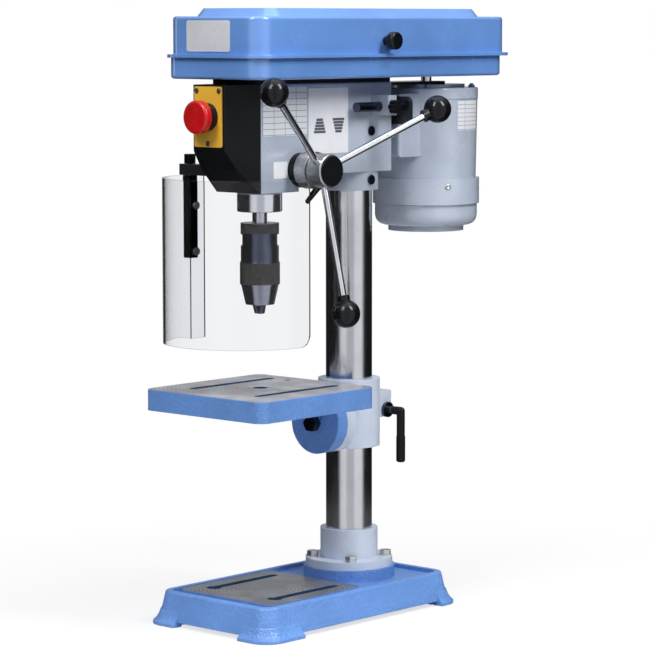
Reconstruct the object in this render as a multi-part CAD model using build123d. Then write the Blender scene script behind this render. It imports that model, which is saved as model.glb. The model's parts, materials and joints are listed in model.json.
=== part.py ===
from build123d import *
import math
import os

# Sizes in mm. While modelling, the column axis is X 0, Y 0, the bench is Z 0, the front is -Y
# and the operator's right is +X. COLUMN_X and COLUMN_Y place that axis in the library frame.
COLUMN_X = -14.1
COLUMN_Y = 28.6
RUN = 0.05
AIR = 0.3
OVER = 1.0

# Base
BASE_WIDTH = 203.2
BASE_FRONT = -261.6
BASE_BACK = 95.1
BASE_HEIGHT = 42.0
BASE_DRAFT = 7.0
BASE_CORNER = 22.0
BASE_WALL = 8.0
BASE_PLATE = 10.0
BASE_RECESS = 5.0
BASE_RIM = 9.0
BASE_EDGE = 2.5
SKIRT_LIFT = 6.0
FOOT_WIDTH = 46.0
FOOT_FRONT = 61.6
FOOT_BACK = 34.0
FOOT_PAD_R = 15.0
FOOT_PAD_IN = 25.0
PAD_WIDTH = 160.0
PAD_FRONT = -233.0
PAD_BACK = -66.0
PAD_CORNER = 8.0
BENCH_PITCH = 106.0
BENCH_HOLE_Y = -197.0
BENCH_HOLE_R = 9.5
BENCH_SLOT_END = -89.0
BENCH_SLOT_R = 6.0
BOSS_R = 59.5
BOSS_RISE = 10.5

# Column and its flange
COLUMN_R = 30.0
COLUMN_WALL = 4.0
FLANGE_R = 56.5
FLANGE_H = 10.5
FLANGE_TUBE_R = 37.3
FLANGE_TUBE_H = 38.4
FLANGE_BOLT_CIRCLE_R = 47.5
BOLT_AF = 13.0
BOLT_HEAD = 7.0
BOLT_R = 4.0
BOLT_DEPTH = 14.0

# Table, tilting on a trunnion
TABLE_TOP = 299.0
TABLE_WIDTH = 204.0
TABLE_LENGTH = 210.0
TABLE_SKIRT = 26.7
TABLE_PLATE = 12.0
TABLE_WALL = 9.0
TABLE_CORNER = 14.0
TABLE_EDGE = 1.5
TABLE_SLOT_PITCH = 112.0
TABLE_SLOT_FRONT = 67.4
TABLE_SLOT_BACK = 82.6
TABLE_SLOT_R = 6.0
TABLE_HOLE_R = 9.25
TABLE_PIN_X = -27.0
TABLE_PIN_Y = 78.6
TABLE_PIN_R = 4.0
TABLE_BOSS_R = 22.0
TRUNNION_R = 40.0
TRUNNION_DROP = 55.0
TRUNNION_THICK = 19.0
TRUNNION_NECK_WIDTH = 64.0
TRUNNION_NECK_REACH = 34.0
TILT_BOLT_R = 6.0
TILT_BOLT_AF = 19.0
TILT_BOLT_HEAD = 10.0
TILT_BOLT_GRIP = 13.0

# Table bracket and its clamp
BRACKET_R = 40.0
BRACKET_BELOW = 35.0
BRACKET_ABOVE = 53.0
BRACKET_FLANGE_Y = 46.7
EAR_HALF = 22.0
EAR_END = 58.0
EAR_BELOW = 9.0
EAR_ABOVE = 25.0
SPLIT = 3.0
CLAMP_Y = 48.5
CLAMP_RISE = 8.0
CLAMP_R = 5.0
CLAMP_WASHER_R = 10.0
CLAMP_WASHER = 4.0
CLAMP_LEVER_X = 47.0
CLAMP_LEVER_R = 5.4
CLAMP_GRIP_R = 5.9
CLAMP_DROP = 67.0
CLAMP_GRIP = 34.0
CLAMP_BEND = 12.0

# Head casting. Its nose carries the quill, its back clamps the column.
NOSE_Z = 545.0
HEAD_HALF = 38.0
HEAD_HEIGHT = 134.0
HEAD_BACK = 41.0
THROAT = 166.6
NOSE_REACH = 37.4
NOSE_BEHIND = 30.0
HEAD_STEP = 5.0
HEAD_SLOPE_Y = 66.6
HEAD_COLUMN_Y = -54.5
HEAD_COLUMN_RISE = 20.0
HEAD_EDGE = 3.0
HEAD_BOSS_DROP = 4.0
HEAD_BOSS_R = 37.8
COLUMN_CAP = 3.0
TENSION_BLOCK = 29.0
TENSION_BLOCK_Y = 0.0
TENSION_BLOCK_LENGTH = 16.0
TENSION_BLOCK_H = 25.5
TENSION_BLOCK_DROP = 16.5
SET_SCREW_R = 6.0
SET_SCREW_IN = 6.0
SET_SCREW_OUT = 1.5
SET_SCREW_HEX = 5.0
SET_SCREW_LOW = 9.5
SET_SCREW_DROP = 62.0

# Switch housing and stop button
SWITCH_DEPTH = 52.0
SWITCH_FRONT_HALF = 27.0
SWITCH_CHIN_Y = 34.0
SWITCH_CHIN_RISE = 29.5
SWITCH_FRONT_RISE = 54.0
SWITCH_EDGE = 2.0
PLATE_WIDTH = 46.7
PLATE_HEIGHT = 74.0
PLATE_THICK = 1.5
PLATE_RISE = 58.0
PLATE_CORNER = 3.0
STOP_RISE = 95.0
STOP_COLLAR_R = 17.0
STOP_COLLAR = 8.5
STOP_STEM_R = 9.0
STOP_HEAD_R = 20.5
STOP_HEAD = 10.5
STOP_DOME = 4.0
STOP_TRAVEL = 4.0

# Belt cover
GASKET = 6.3
GASKET_IN = 2.0
GASKET_AHEAD = 8.0
TRAY_WIDTH = 162.0
TRAY_AHEAD = 88.0
TRAY_BEHIND = 70.3
TRAY_HEIGHT = 25.7
TRAY_CORNER = 25.0
TRAY_EDGE = 4.0
SHEET = 2.0
SLEEVE_HOLE_R = 16.0
SHAFT_SLOT_R = 11.0
LID_WIDTH = 159.0
LID_AHEAD = 85.4
LID_BEHIND = 77.0
LID_HEIGHT = 50.7
LIP_OUT = 7.5
LIP = 4.1
PANEL_IN = 11.5
PANEL_IN_ENDS = 32.4
PANEL_BACK_IN = 39.0
PANEL_RISE = 10.0
PANEL_SLOPE = 8.0
PANEL_CORNER = 14.0
LID_EDGE = 4.0
LID_KNOB_Y = -19.0
LID_KNOB_RISE = 20.4
LID_KNOB_R = 11.3
LID_KNOB_STEM_R = 6.0
LID_KNOB_STEM = 8.0
LID_KNOB_HEAD = 12.0
HINGE_FRONT_Y = -120.0
HINGE_BACK_Y = 90.0
HINGE_KNUCKLE = 14.0
HINGE_R = 4.0
HINGE_PIN_R = 1.5
HINGE_LEAF = 2.0
HINGE_LEAF_H = 13.0

# Drive
PULLEY_SMALL_R = 30.0
PULLEY_STEP = 8.0
PULLEY_STEPS = 5
PULLEY_STEP_H = 12.5
PULLEY_LIFT = 4.7
BELT_STEP = 2
BELT_WIDTH = 10.0
BELT_INNER_WIDTH = 7.0
BELT_THICK = 8.0
SLEEVE_TOP = 28.0
SLEEVE_WALL = 2.7
BEARING_R = 21.0
BEARING_H = 12.0
BEARING_SPACE = 4.0
BEARING_SEAT = 1.0
QUILL_WEB = 3.0
SPLINE_R = 8.0
SPLINE_H = 1.5
SPLINE_W = 4.0
SPLINES = 4

# Motor
MOTOR_Y = 153.0
MOTOR_R = 68.0
MOTOR_LOW_R = 66.0
MOTOR_HOUSING_H = 104.0
MOTOR_SHIELD_H = 19.0
MOTOR_SHIELD_OUT = 0.6
MOTOR_SHIELD_EDGE = 2.0
MOTOR_RAISED_R = 51.0
MOTOR_RAISED_H = 4.3
MOTOR_BAND_R = 70.6
MOTOR_BAND_H = 34.0
MOTOR_BELL_R = 67.8
MOTOR_BELL_H = 29.0
MOTOR_BELL_ROUND = 16.0
MOTOR_BELL_LOW_R = 51.5
MOTOR_COVER_R = 50.0
MOTOR_COVER_H = 7.0
MOTOR_SHAFT_R = 7.0
MOTOR_SHAFT_IN = 60.0
BOX_HALF = 37.5
BOX_H = 82.0
BOX_DROP = 11.0
BOX_EDGE = 4.0
MOTOR_PLATE_HALF = 24.0
MOTOR_PLATE = 4.0
MOTOR_PLATE_DROP = 1.0
MOTOR_PLATE_BACK = 10.0
MOTOR_TRAVEL = 8.0
MOTOR_ROOM = 1.0
MOTOR_BAR = 6.0
MOTOR_BAR_ROUND = 9.0
MOTOR_BAR_ABOVE = 12.0
MOTOR_BAR_BELOW = 24.0
ROD_R = 6.25
ROD_X = 51.0
ROD_DROP = 31.0
ROD_FRONT = -43.0
KNOB_R = 9.0
KNOB_LENGTH = 9.0
KNOB_LOBES = 6
KNOB_LOBE_R = 3.0
KNOB_STUD_R = 4.0

# Quill with its rack, and the spindle
QUILL_R = 25.0
QUILL_BORE_R = 15.0
COLLAR_R = 28.25
COLLAR_H = 23.6
COLLAR_BELOW_NOSE = 1.0
COLLAR_EDGE = 1.5
QUILL_BEARING_R = 19.0
QUILL_BEARING_H = 12.0
QUILL_ROOM = 3.0
SPINDLE_R = 9.3
SPINDLE_NECK = 14.0
SPINDLE_TAPER_R = 8.0
SPINDLE_TAPER_END_R = 7.0
SPINDLE_TAPER = 24.0
SPINDLE_TOP = 110.0
GEAR_MODULE = 1.5
PINION_TEETH = 12
PINION_TIP = 1.2
PINION_ROOT = 1.3
PINION_HALF = 8.0
RACK_LINE = 22.5
RACK_TIP = 1.0
RACK_ROOT = 1.5
RACK_BELOW = 14.0
BACKLASH = 0.3
PRESSURE_ANGLE = 20.0
PINION_FLANK = 4

# Keyless chuck, from the top down
CHUCK_TOP_R = 24.0
CHUCK_TOP_H = 14.0
CHUCK_CORE_R = 21.9
CHUCK_NECK_H = 14.4
SLEEVE_UPPER_R = 23.8
SLEEVE_UPPER_H = 20.4
SLEEVE_GRIP_R = 25.0
SLEEVE_GRIP_H = 27.9
SLEEVE_CONE_R = 23.7
SLEEVE_CONE_END_R = 18.0
SLEEVE_CONE_H = 25.2
CHUCK_NOSE_R = 15.0
CHUCK_FIT = 0.08
JAW_R = 3.5
JAW_FIT = 0.1
JAW_ANGLE = 15.0
JAW_OUT = 11.8
JAW_TIP_R = 3.2
JAW_LENGTH = 34.0
JAW_TRAVEL = 15.0
JAW_SPLIT = 0.2
JAW_GRIP_R = 0.75
JAWS = 3

# Feed
FEED_RISE = 27.5
FEED_JOURNAL_R = 11.0
FEED_JOURNAL_X = 15.5
FEED_LEFT_R = 7.0
FEED_SPRING_R = 5.0
FEED_SPRING_X = 55.0
FEED_FLANGE_R = 21.0
FEED_FLANGE = 12.0
DEPTH_RING_R = 23.0
DEPTH_RING = 17.4
DEPTH_RING_BORE_R = 9.0
HUB_R = 21.0
HUB_LENGTH = 24.0
HUB_BORE_R = 8.0
HUB_EDGE = 2.0
FEED_CAP_R = 18.5
FEED_CAP = 3.0
SPOKES = 3
SPOKE_R = 4.5
SPOKE_FIRST = 25.0
SPOKE_ROOT_X = 8.0
SPOKE_RUN = 54.0
SPOKE_REACH = 173.5
SPOKE_START = 12.0
SPOKE_IN_BALL = 9.0
BALL_R = 17.5
BALL_NECK_R = 8.0
BALL_NECK = 22.0
SPRING_CAP_R = 30.0
SPRING_CAP = 22.0
SPRING_CAP_EDGE = 2.0
SPRING_STRIP = 0.9
SPRING_WIDTH = 14.0
SPRING_TURN_COUNT = 5
SPRING_POINT_COUNT = 18
LOCK_BEHIND = 74.6
LOCK_RISE = 16.0
LOCK_SCREW_R = 4.0
LOCK_SCREW = 52.0
LOCK_HUB_R = 8.0
LOCK_HUB = 10.0
LOCK_TIP_Y = -34.0
LOCK_TIP_Z = -28.0
LOCK_ROOT_R = 4.6
LOCK_TIP_R = 3.4
CLAMP_SLIT = 2.0
CLAMP_SLIT_BACK = 84.0

# Chip guard
GUARD_R = 100.0
GUARD_SHEET = 3.0
GUARD_X = -20.0
GUARD_AHEAD = 10.4
GUARD_STRAIGHT = 16.6
GUARD_BOTTOM = 189.0
GUARD_CORNER = 16.0
POST_X = -106.0
POST_AHEAD = 16.4
POST_SIZE = 12.0
POST_LENGTH = 104.7
POST_TURN_IN = 23.0
ARM_RISE = 18.0
ARM_H = 14.0
ARM_WIDTH = 18.0
ARM_END = 10.0
ARM_PLATE = 6.0
ARM_PLATE_FRONT = 11.0
ARM_PLATE_BACK = 8.0
ARM_PLATE_H = 26.0
PIVOT_R = 4.0
PIVOT_AF = 13.0
PIVOT_HEAD = 12.0
PIVOT_IN = 20.0
GUARD_SCREW_R = 2.5
GUARD_SCREW_HEAD_R = 5.0
GUARD_SCREW_HEAD = 3.0
GUARD_SCREW_IN = 7.0
GUARD_SCREW_HIGH = 38.1
GUARD_SCREW_LOW = 96.3

# Heights and places that follow from the sizes above
BOSS_TOP = BASE_HEIGHT + BOSS_RISE
HEAD_TOP = NOSE_Z + HEAD_HEIGHT
SPINDLE_Y = -THROAT
NOSE_FRONT = SPINDLE_Y - NOSE_REACH
COLUMN_TOP = HEAD_TOP - COLUMN_CAP
TILT_Z = TABLE_TOP - TRUNNION_DROP
CLAMP_Z = TILT_Z + CLAMP_RISE
TRAY_Z = HEAD_TOP + GASKET
LID_Z = TRAY_Z + TRAY_HEIGHT + AIR
LID_TOP = LID_Z + LID_HEIGHT
LID_FRONT = SPINDLE_Y - LID_AHEAD
LID_BACK = MOTOR_Y + LID_BEHIND
HINGE_X = -(LID_WIDTH / 2 + LIP_OUT + HINGE_R + 2 * AIR)
HINGE_Z = LID_Z - AIR
PULLEY_Z = TRAY_Z + SHEET + PULLEY_LIFT
PULLEY_TOP = PULLEY_Z + PULLEY_STEPS * PULLEY_STEP_H
PULLEY_RADII = [PULLEY_SMALL_R + i * PULLEY_STEP for i in range(PULLEY_STEPS)]
BELT_Z = PULLEY_Z + BELT_STEP * PULLEY_STEP_H + PULLEY_STEP_H / 2
MOTOR_PLATE_TOP = HEAD_TOP - MOTOR_PLATE_DROP
MOTOR_TOP = MOTOR_PLATE_TOP - MOTOR_PLATE
ROD_Z = HEAD_TOP - ROD_DROP
MOTOR_BAR_Y = HEAD_BACK + MOTOR_TRAVEL + MOTOR_ROOM
KNOB_Y = TENSION_BLOCK_Y + TENSION_BLOCK_LENGTH / 2
KNOB_X = HEAD_HALF + TENSION_BLOCK + AIR
MOTOR_SEAM = MOTOR_TOP - MOTOR_SHIELD_H
MOTOR_LOW = MOTOR_SEAM - MOTOR_HOUSING_H - MOTOR_BAND_H - MOTOR_BELL_H
BELT_R = PULLEY_SMALL_R + BELT_STEP * PULLEY_STEP
SLEEVE_R = SPLINE_R + SPLINE_H + AIR + SLEEVE_WALL
BEARING_LOW = HEAD_TOP - BEARING_SEAT - 2 * BEARING_H - BEARING_SPACE
QUILL_TOP = BEARING_LOW - QUILL_WEB - QUILL_ROOM
QUILL_LOW = NOSE_Z - COLLAR_BELOW_NOSE - COLLAR_H
CHUCK_TOP = QUILL_LOW - SPINDLE_NECK
CHUCK_NECK = CHUCK_TOP - CHUCK_TOP_H
SLEEVE_HIGH = CHUCK_NECK - CHUCK_NECK_H
GRIP_HIGH = SLEEVE_HIGH - SLEEVE_UPPER_H
CONE_HIGH = GRIP_HIGH - SLEEVE_GRIP_H
CHUCK_LOW = CONE_HIGH - SLEEVE_CONE_H
JAW_LOW = CHUCK_LOW - JAW_OUT
PINION_R = GEAR_MODULE * PINION_TEETH / 2
GEAR_PITCH = math.pi * GEAR_MODULE
FEED_Y = SPINDLE_Y + RACK_LINE + PINION_R
FEED_Z = NOSE_Z + FEED_RISE
RING_X = HEAD_HALF + FEED_FLANGE + AIR
HUB_X = RING_X + DEPTH_RING + AIR
CAP_X = HUB_X + HUB_LENGTH
SPOKE_LENGTH = math.hypot(SPOKE_RUN, SPOKE_REACH)
LOCK_Y = SPINDLE_Y + LOCK_BEHIND
LOCK_Z = NOSE_Z + LOCK_RISE
STOP_FACE = NOSE_FRONT - SWITCH_DEPTH - PLATE_THICK
STOP_Z = NOSE_Z + STOP_RISE
GUARD_Y = SPINDLE_Y - GUARD_AHEAD
POST_Y = SPINDLE_Y - POST_AHEAD
ARM_Z = NOSE_Z + ARM_RISE
POST_TOP = ARM_Z - AIR
BENCH_XS = (-BENCH_PITCH / 2, BENCH_PITCH / 2)


def block(x0, x1, y0, y1, z0, z1):
    """Box between two corners."""
    return Pos((x0 + x1) / 2, (y0 + y1) / 2, (z0 + z1) / 2) * Box(x1 - x0, y1 - y0, z1 - z0)


def slab(x0, x1, y0, y1, z0, z1, corner):
    """Upright prism on a rectangle with rounded corners."""
    outline = RectangleRounded(x1 - x0, y1 - y0, corner)
    return extrude(Pos((x0 + x1) / 2, (y0 + y1) / 2, z0) * outline, z1 - z0)


def frustum(low, high, z0, z1):
    """Straight-sided solid from one rounded rectangle to another; each is x0, x1, y0, y1, corner."""
    ends = []
    for (x0, x1, y0, y1, corner), z in ((low, z0), (high, z1)):
        ends.append(Pos((x0 + x1) / 2, (y0 + y1) / 2, z) * RectangleRounded(x1 - x0, y1 - y0, corner))
    return loft(ends, ruled=True)


def disc(radius, z0, z1, x=0.0, y=0.0):
    """Upright cylinder."""
    return Pos(x, y, (z0 + z1) / 2) * Cylinder(radius, z1 - z0)


def along_x(radius, x0, x1, y, z):
    """Cylinder lying along X."""
    return Pos((x0 + x1) / 2, y, z) * Rot(0, 90, 0) * Cylinder(radius, x1 - x0)


def along_y(radius, y0, y1, x, z):
    """Cylinder lying along Y."""
    return Pos(x, (y0 + y1) / 2, z) * Rot(90, 0, 0) * Cylinder(radius, y1 - y0)


def turned(points):
    """Solid of revolution about Z from a closed outline of radius and height."""
    outline = Polyline(*[(r, 0, z) for r, z in points], close=True)
    return revolve(make_face(outline), Axis.Z)


def side_cut(points, x0, x1):
    """Prism along X on an outline of Y and Z."""
    outline = Polyline(*[(x0, y, z) for y, z in points], close=True)
    return extrude(make_face(outline), x1 - x0, dir=(1, 0, 0))


def hexagon(across, height):
    """Upright hexagonal prism standing on the XY plane."""
    return extrude(RegularPolygon(across / 2, 6, major_radius=False), height)


def slot(x, y0, y1, radius, z0, z1):
    """Round-ended slot along Y; y0 and y1 are the centres of its ends."""
    body = block(x - radius, x + radius, y0, y1, z0, z1)
    return body + disc(radius, z0, z1, x, y0) + disc(radius, z0, z1, x, y1)


def group(shapes):
    """Separate solids written as one node."""
    return Compound([solid for shape in shapes for solid in shape.solids()])


parts = {}


def base_outline(inset, corner):
    """Base plan drawn in by an inset on every side."""
    half = BASE_WIDTH / 2 - inset
    return (-half, half, BASE_FRONT + inset, BASE_BACK - inset, corner)


def make_base():
    """Drafted, hollow casting on four feet, with a machined pad, a recessed floor and bolt slots."""
    rim = BASE_DRAFT
    cavity_top = BASE_HEIGHT - BASE_RECESS - BASE_PLATE
    body = frustum(base_outline(0, BASE_CORNER), base_outline(rim, BASE_CORNER), 0, BASE_HEIGHT)
    body = fillet(body.faces().sort_by(Axis.Z)[-1].edges(), BASE_EDGE)
    wall = BASE_WALL + BASE_DRAFT
    body -= frustum(base_outline(BASE_WALL, BASE_CORNER), base_outline(wall, BASE_CORNER), -OVER, cavity_top)
    pads = []
    for x in (-BASE_WIDTH / 2 + FOOT_PAD_IN, BASE_WIDTH / 2 - FOOT_PAD_IN):
        for y in (BASE_FRONT + FOOT_PAD_IN, BASE_BACK - FOOT_PAD_IN):
            pads.append(disc(FOOT_PAD_R, 0, cavity_top, x, y))
    body += pads
    body += disc(BOSS_R, cavity_top - OVER, BOSS_TOP)
    x0, x1, y0, y1, corner = base_outline(rim + BASE_RIM, BASE_CORNER - BASE_RIM)
    floor = slab(x0, x1, y0, y1, BASE_HEIGHT - BASE_RECESS, BASE_HEIGHT + OVER, corner)
    half = PAD_WIDTH / 2
    floor -= slab(-half, half, PAD_FRONT, PAD_BACK, 0, BASE_HEIGHT + 2 * OVER, PAD_CORNER)
    floor -= disc(BOSS_R, 0, BOSS_TOP)
    body -= floor
    gap_x = BASE_WIDTH / 2 - FOOT_WIDTH
    body -= block(-gap_x, gap_x, BASE_FRONT - OVER, BASE_BACK + OVER, -OVER, SKIRT_LIFT)
    side = BASE_WIDTH / 2 + OVER
    body -= block(-side, side, BASE_FRONT + FOOT_FRONT, BASE_BACK - FOOT_BACK, -OVER, SKIRT_LIFT)
    for x in BENCH_XS:
        body -= slot(x, BENCH_HOLE_Y, BENCH_SLOT_END, BENCH_SLOT_R, -OVER, BASE_HEIGHT + OVER)
        body -= disc(BENCH_HOLE_R, -OVER, BASE_HEIGHT + OVER, x, BENCH_HOLE_Y)
    for x, y in flange_bolt_places():
        body -= disc(BOLT_R + RUN, BOSS_TOP - BOLT_DEPTH, BOSS_TOP + OVER, x, y)
    return body


def flange_bolt_places():
    """Centres of the four flange bolts."""
    reach = FLANGE_BOLT_CIRCLE_R * math.cos(math.radians(45))
    return [(x, y) for x in (-reach, reach) for y in (-reach, reach)]


def make_flange():
    """Column socket: a bolted disc with a tube that carries the column."""
    disc_top = BOSS_TOP + FLANGE_H
    body = disc(FLANGE_R, BOSS_TOP, disc_top)
    body += disc(FLANGE_TUBE_R, BOSS_TOP, disc_top + FLANGE_TUBE_H)
    body -= disc(COLUMN_R + RUN, BOSS_TOP - OVER, disc_top + FLANGE_TUBE_H + OVER)
    for x, y in flange_bolt_places():
        body -= disc(BOLT_R + RUN, BOSS_TOP - OVER, disc_top + OVER, x, y)
    return body


def make_flange_bolts():
    """Four hexagon bolts through the flange into the base boss."""
    seat = BOSS_TOP + FLANGE_H
    bolts = []
    for x, y in flange_bolt_places():
        shank = disc(BOLT_R, BOSS_TOP - BOLT_DEPTH, seat, x, y)
        bolts.append(shank + Pos(x, y, seat) * hexagon(BOLT_AF, BOLT_HEAD))
    return group(bolts)


def make_table():
    """Ribbed plate with two slots and a centre hole, on a trunnion disc behind."""
    half = TABLE_WIDTH / 2
    front = SPINDLE_Y - TABLE_LENGTH / 2
    back = SPINDLE_Y + TABLE_LENGTH / 2
    under = TABLE_TOP - TABLE_PLATE
    bottom = TABLE_TOP - TABLE_SKIRT
    body = slab(-half, half, front, back, bottom, TABLE_TOP, TABLE_CORNER)
    body = fillet(body.faces().sort_by(Axis.Z)[-1].edges(), TABLE_EDGE)
    inner = TABLE_WALL
    body -= slab(-half + inner, half - inner, front + inner, back - inner, bottom - OVER, under,
                 TABLE_CORNER - inner)
    body += disc(TABLE_BOSS_R, bottom, under, 0, SPINDLE_Y)
    face = -BRACKET_FLANGE_Y - AIR
    neck = TRUNNION_NECK_WIDTH / 2
    body += along_y(TRUNNION_R, face - TRUNNION_THICK, face, 0, TILT_Z)
    body += block(-neck, neck, back - TRUNNION_NECK_REACH, face, TILT_Z + TILT_BOLT_AF, under)
    for x in (-TABLE_SLOT_PITCH / 2, TABLE_SLOT_PITCH / 2):
        body -= slot(x, SPINDLE_Y - TABLE_SLOT_FRONT + TABLE_SLOT_R,
                     SPINDLE_Y + TABLE_SLOT_BACK - TABLE_SLOT_R, TABLE_SLOT_R, bottom, TABLE_TOP + OVER)
    body -= disc(TABLE_HOLE_R, bottom - OVER, TABLE_TOP + OVER, 0, SPINDLE_Y)
    body -= disc(TABLE_PIN_R, TABLE_TOP - TABLE_PLATE / 2, TABLE_TOP + OVER, TABLE_PIN_X,
                 SPINDLE_Y + TABLE_PIN_Y)
    body -= along_y(TILT_BOLT_R + RUN, face - TRUNNION_THICK - OVER, face + OVER, 0, TILT_Z)
    return body


def make_tilt_bolt():
    """Pivot bolt of the table, screwed into the bracket flange."""
    head_back = -BRACKET_FLANGE_Y - TRUNNION_THICK - 2 * AIR
    shank = along_y(TILT_BOLT_R, head_back, TILT_BOLT_GRIP - BRACKET_FLANGE_Y, 0, TILT_Z)
    head = Pos(0, head_back, TILT_Z) * Rot(90, 0, 0) * hexagon(TILT_BOLT_AF, TILT_BOLT_HEAD)
    return shank + head


def make_bracket():
    """Split collar on the column with a round flange for the table and two clamp ears."""
    low = TILT_Z - BRACKET_BELOW
    high = TILT_Z + BRACKET_ABOVE
    body = disc(BRACKET_R, low, high)
    body += along_y(BRACKET_R, -BRACKET_FLANGE_Y, -COLUMN_R, 0, TILT_Z)
    body += block(-EAR_HALF, EAR_HALF, COLUMN_R, EAR_END, CLAMP_Z - EAR_BELOW, CLAMP_Z + EAR_ABOVE)
    body -= disc(COLUMN_R + RUN, 0, HEAD_TOP)
    body -= block(-SPLIT / 2, SPLIT / 2, 0, EAR_END + OVER, 0, HEAD_TOP)
    body -= along_x(CLAMP_R + RUN, -EAR_HALF - OVER, EAR_HALF + OVER, CLAMP_Y, CLAMP_Z)
    body -= along_y(TILT_BOLT_R, -BRACKET_FLANGE_Y - OVER, TILT_BOLT_GRIP - BRACKET_FLANGE_Y, 0, TILT_Z)
    return body


def make_clamp_screw():
    """Clamp screw through both ears, with a washer face on the right."""
    seat = EAR_HALF + AIR
    screw = along_x(CLAMP_R, -EAR_HALF, CLAMP_LEVER_X - CLAMP_BEND, CLAMP_Y, CLAMP_Z)
    return screw + along_x(CLAMP_WASHER_R, seat, seat + CLAMP_WASHER, CLAMP_Y, CLAMP_Z)


def make_clamp_lever():
    """Bent clamp lever hanging from the screw, with a thicker grip."""
    low = CLAMP_Z - CLAMP_DROP
    grip = disc(CLAMP_GRIP_R, low, low + CLAMP_GRIP, CLAMP_LEVER_X, CLAMP_Y)
    grip = fillet(grip.edges().sort_by(Axis.Z)[0], CLAMP_GRIP_R / 2)
    stem = disc(CLAMP_LEVER_R, low + CLAMP_GRIP, CLAMP_Z, CLAMP_LEVER_X, CLAMP_Y)
    stub = along_x(CLAMP_LEVER_R, CLAMP_LEVER_X - CLAMP_BEND, CLAMP_LEVER_X, CLAMP_Y, CLAMP_Z)
    elbow = Pos(CLAMP_LEVER_X, CLAMP_Y, CLAMP_Z) * Sphere(CLAMP_LEVER_R)
    return grip + stem + stub + elbow


parts["base"] = make_base()
parts["column_flange"] = make_flange()
parts["flange_bolts"] = make_flange_bolts()
parts["column_tube"] = disc(COLUMN_R, BOSS_TOP + RUN, COLUMN_TOP) - disc(
    COLUMN_R - COLUMN_WALL, BOSS_TOP, COLUMN_TOP + OVER)
parts["table"] = make_table()
parts["tilt_bolt"] = make_tilt_bolt()
parts["table_bracket"] = make_bracket()
parts["table_clamp_screw"] = make_clamp_screw()
parts["table_clamp_lever"] = make_clamp_lever()


def set_screw_heights():
    """Heights of the two screws that lock the head on the column."""
    return (NOSE_Z + SET_SCREW_LOW, HEAD_TOP - SET_SCREW_DROP)


def make_head():
    """Head casting: column clamp behind, quill and spindle bores in the nose, feed bore across."""
    low = NOSE_Z + HEAD_STEP
    column_low = NOSE_Z + HEAD_COLUMN_RISE
    nose_back = SPINDLE_Y + NOSE_BEHIND
    body = side_cut([(NOSE_FRONT, NOSE_Z), (nose_back, NOSE_Z), (nose_back, low),
                     (SPINDLE_Y + HEAD_SLOPE_Y, low), (HEAD_COLUMN_Y, column_low), (HEAD_BACK, column_low),
                     (HEAD_BACK, HEAD_TOP), (NOSE_FRONT, HEAD_TOP)], -HEAD_HALF, HEAD_HALF)
    body = fillet(body.faces().sort_by(Axis.Y)[-1].edges().filter_by(Axis.Z), HEAD_EDGE)
    body = fillet(body.faces().sort_by(Axis.X)[-1].edges().group_by(Axis.Z)[-1], HEAD_EDGE)
    body += disc(HEAD_BOSS_R, NOSE_Z - HEAD_BOSS_DROP, HEAD_TOP - HEAD_EDGE)
    block_top = HEAD_TOP - TENSION_BLOCK_DROP
    for side in (-1, 1):
        ends = sorted((side * (HEAD_HALF - OVER), side * (HEAD_HALF + TENSION_BLOCK)))
        body += block(*ends, TENSION_BLOCK_Y, TENSION_BLOCK_Y + TENSION_BLOCK_LENGTH,
                      block_top - TENSION_BLOCK_H, block_top)
        body -= along_y(ROD_R + RUN, TENSION_BLOCK_Y - OVER, TENSION_BLOCK_Y + TENSION_BLOCK_LENGTH + OVER,
                        side * ROD_X, ROD_Z)
    body -= along_x(KNOB_STUD_R + RUN, ROD_X, KNOB_X, KNOB_Y, ROD_Z)
    body -= disc(COLUMN_R + RUN, NOSE_Z - HEAD_BOSS_DROP - OVER, COLUMN_TOP + RUN)
    body -= disc(QUILL_R + RUN, NOSE_Z - OVER, QUILL_TOP + QUILL_ROOM, 0, SPINDLE_Y)
    body -= disc(SLEEVE_HOLE_R, NOSE_Z, HEAD_TOP + OVER, 0, SPINDLE_Y)
    body -= disc(BEARING_R, BEARING_LOW, HEAD_TOP + OVER, 0, SPINDLE_Y)
    body -= along_x(FEED_JOURNAL_R + RUN, -FEED_JOURNAL_X, HEAD_HALF + OVER, FEED_Y, FEED_Z)
    body -= along_x(FEED_LEFT_R + RUN, -HEAD_HALF - OVER, 0, FEED_Y, FEED_Z)
    body -= block(-CLAMP_SLIT / 2, CLAMP_SLIT / 2, SPINDLE_Y, SPINDLE_Y + CLAMP_SLIT_BACK, NOSE_Z - OVER,
                  FEED_Z)
    body -= along_x(LOCK_SCREW_R + RUN, HEAD_HALF - LOCK_SCREW - AIR, HEAD_HALF + OVER, LOCK_Y, LOCK_Z)
    for z in set_screw_heights():
        body -= along_x(SET_SCREW_R, HEAD_HALF - SET_SCREW_IN, HEAD_HALF + OVER, 0, z)
    return body


def make_set_screws():
    """Two socket set screws that lock the head on the column."""
    screws = []
    for z in set_screw_heights():
        screw = along_x(SET_SCREW_R, HEAD_HALF - SET_SCREW_IN, HEAD_HALF + SET_SCREW_OUT, 0, z)
        socket = Pos(HEAD_HALF - SET_SCREW_OUT, 0, z) * Rot(0, 90, 0)
        screws.append(screw - socket * hexagon(SET_SCREW_HEX, 2 * SET_SCREW_OUT + OVER))
    return group(screws)


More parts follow.
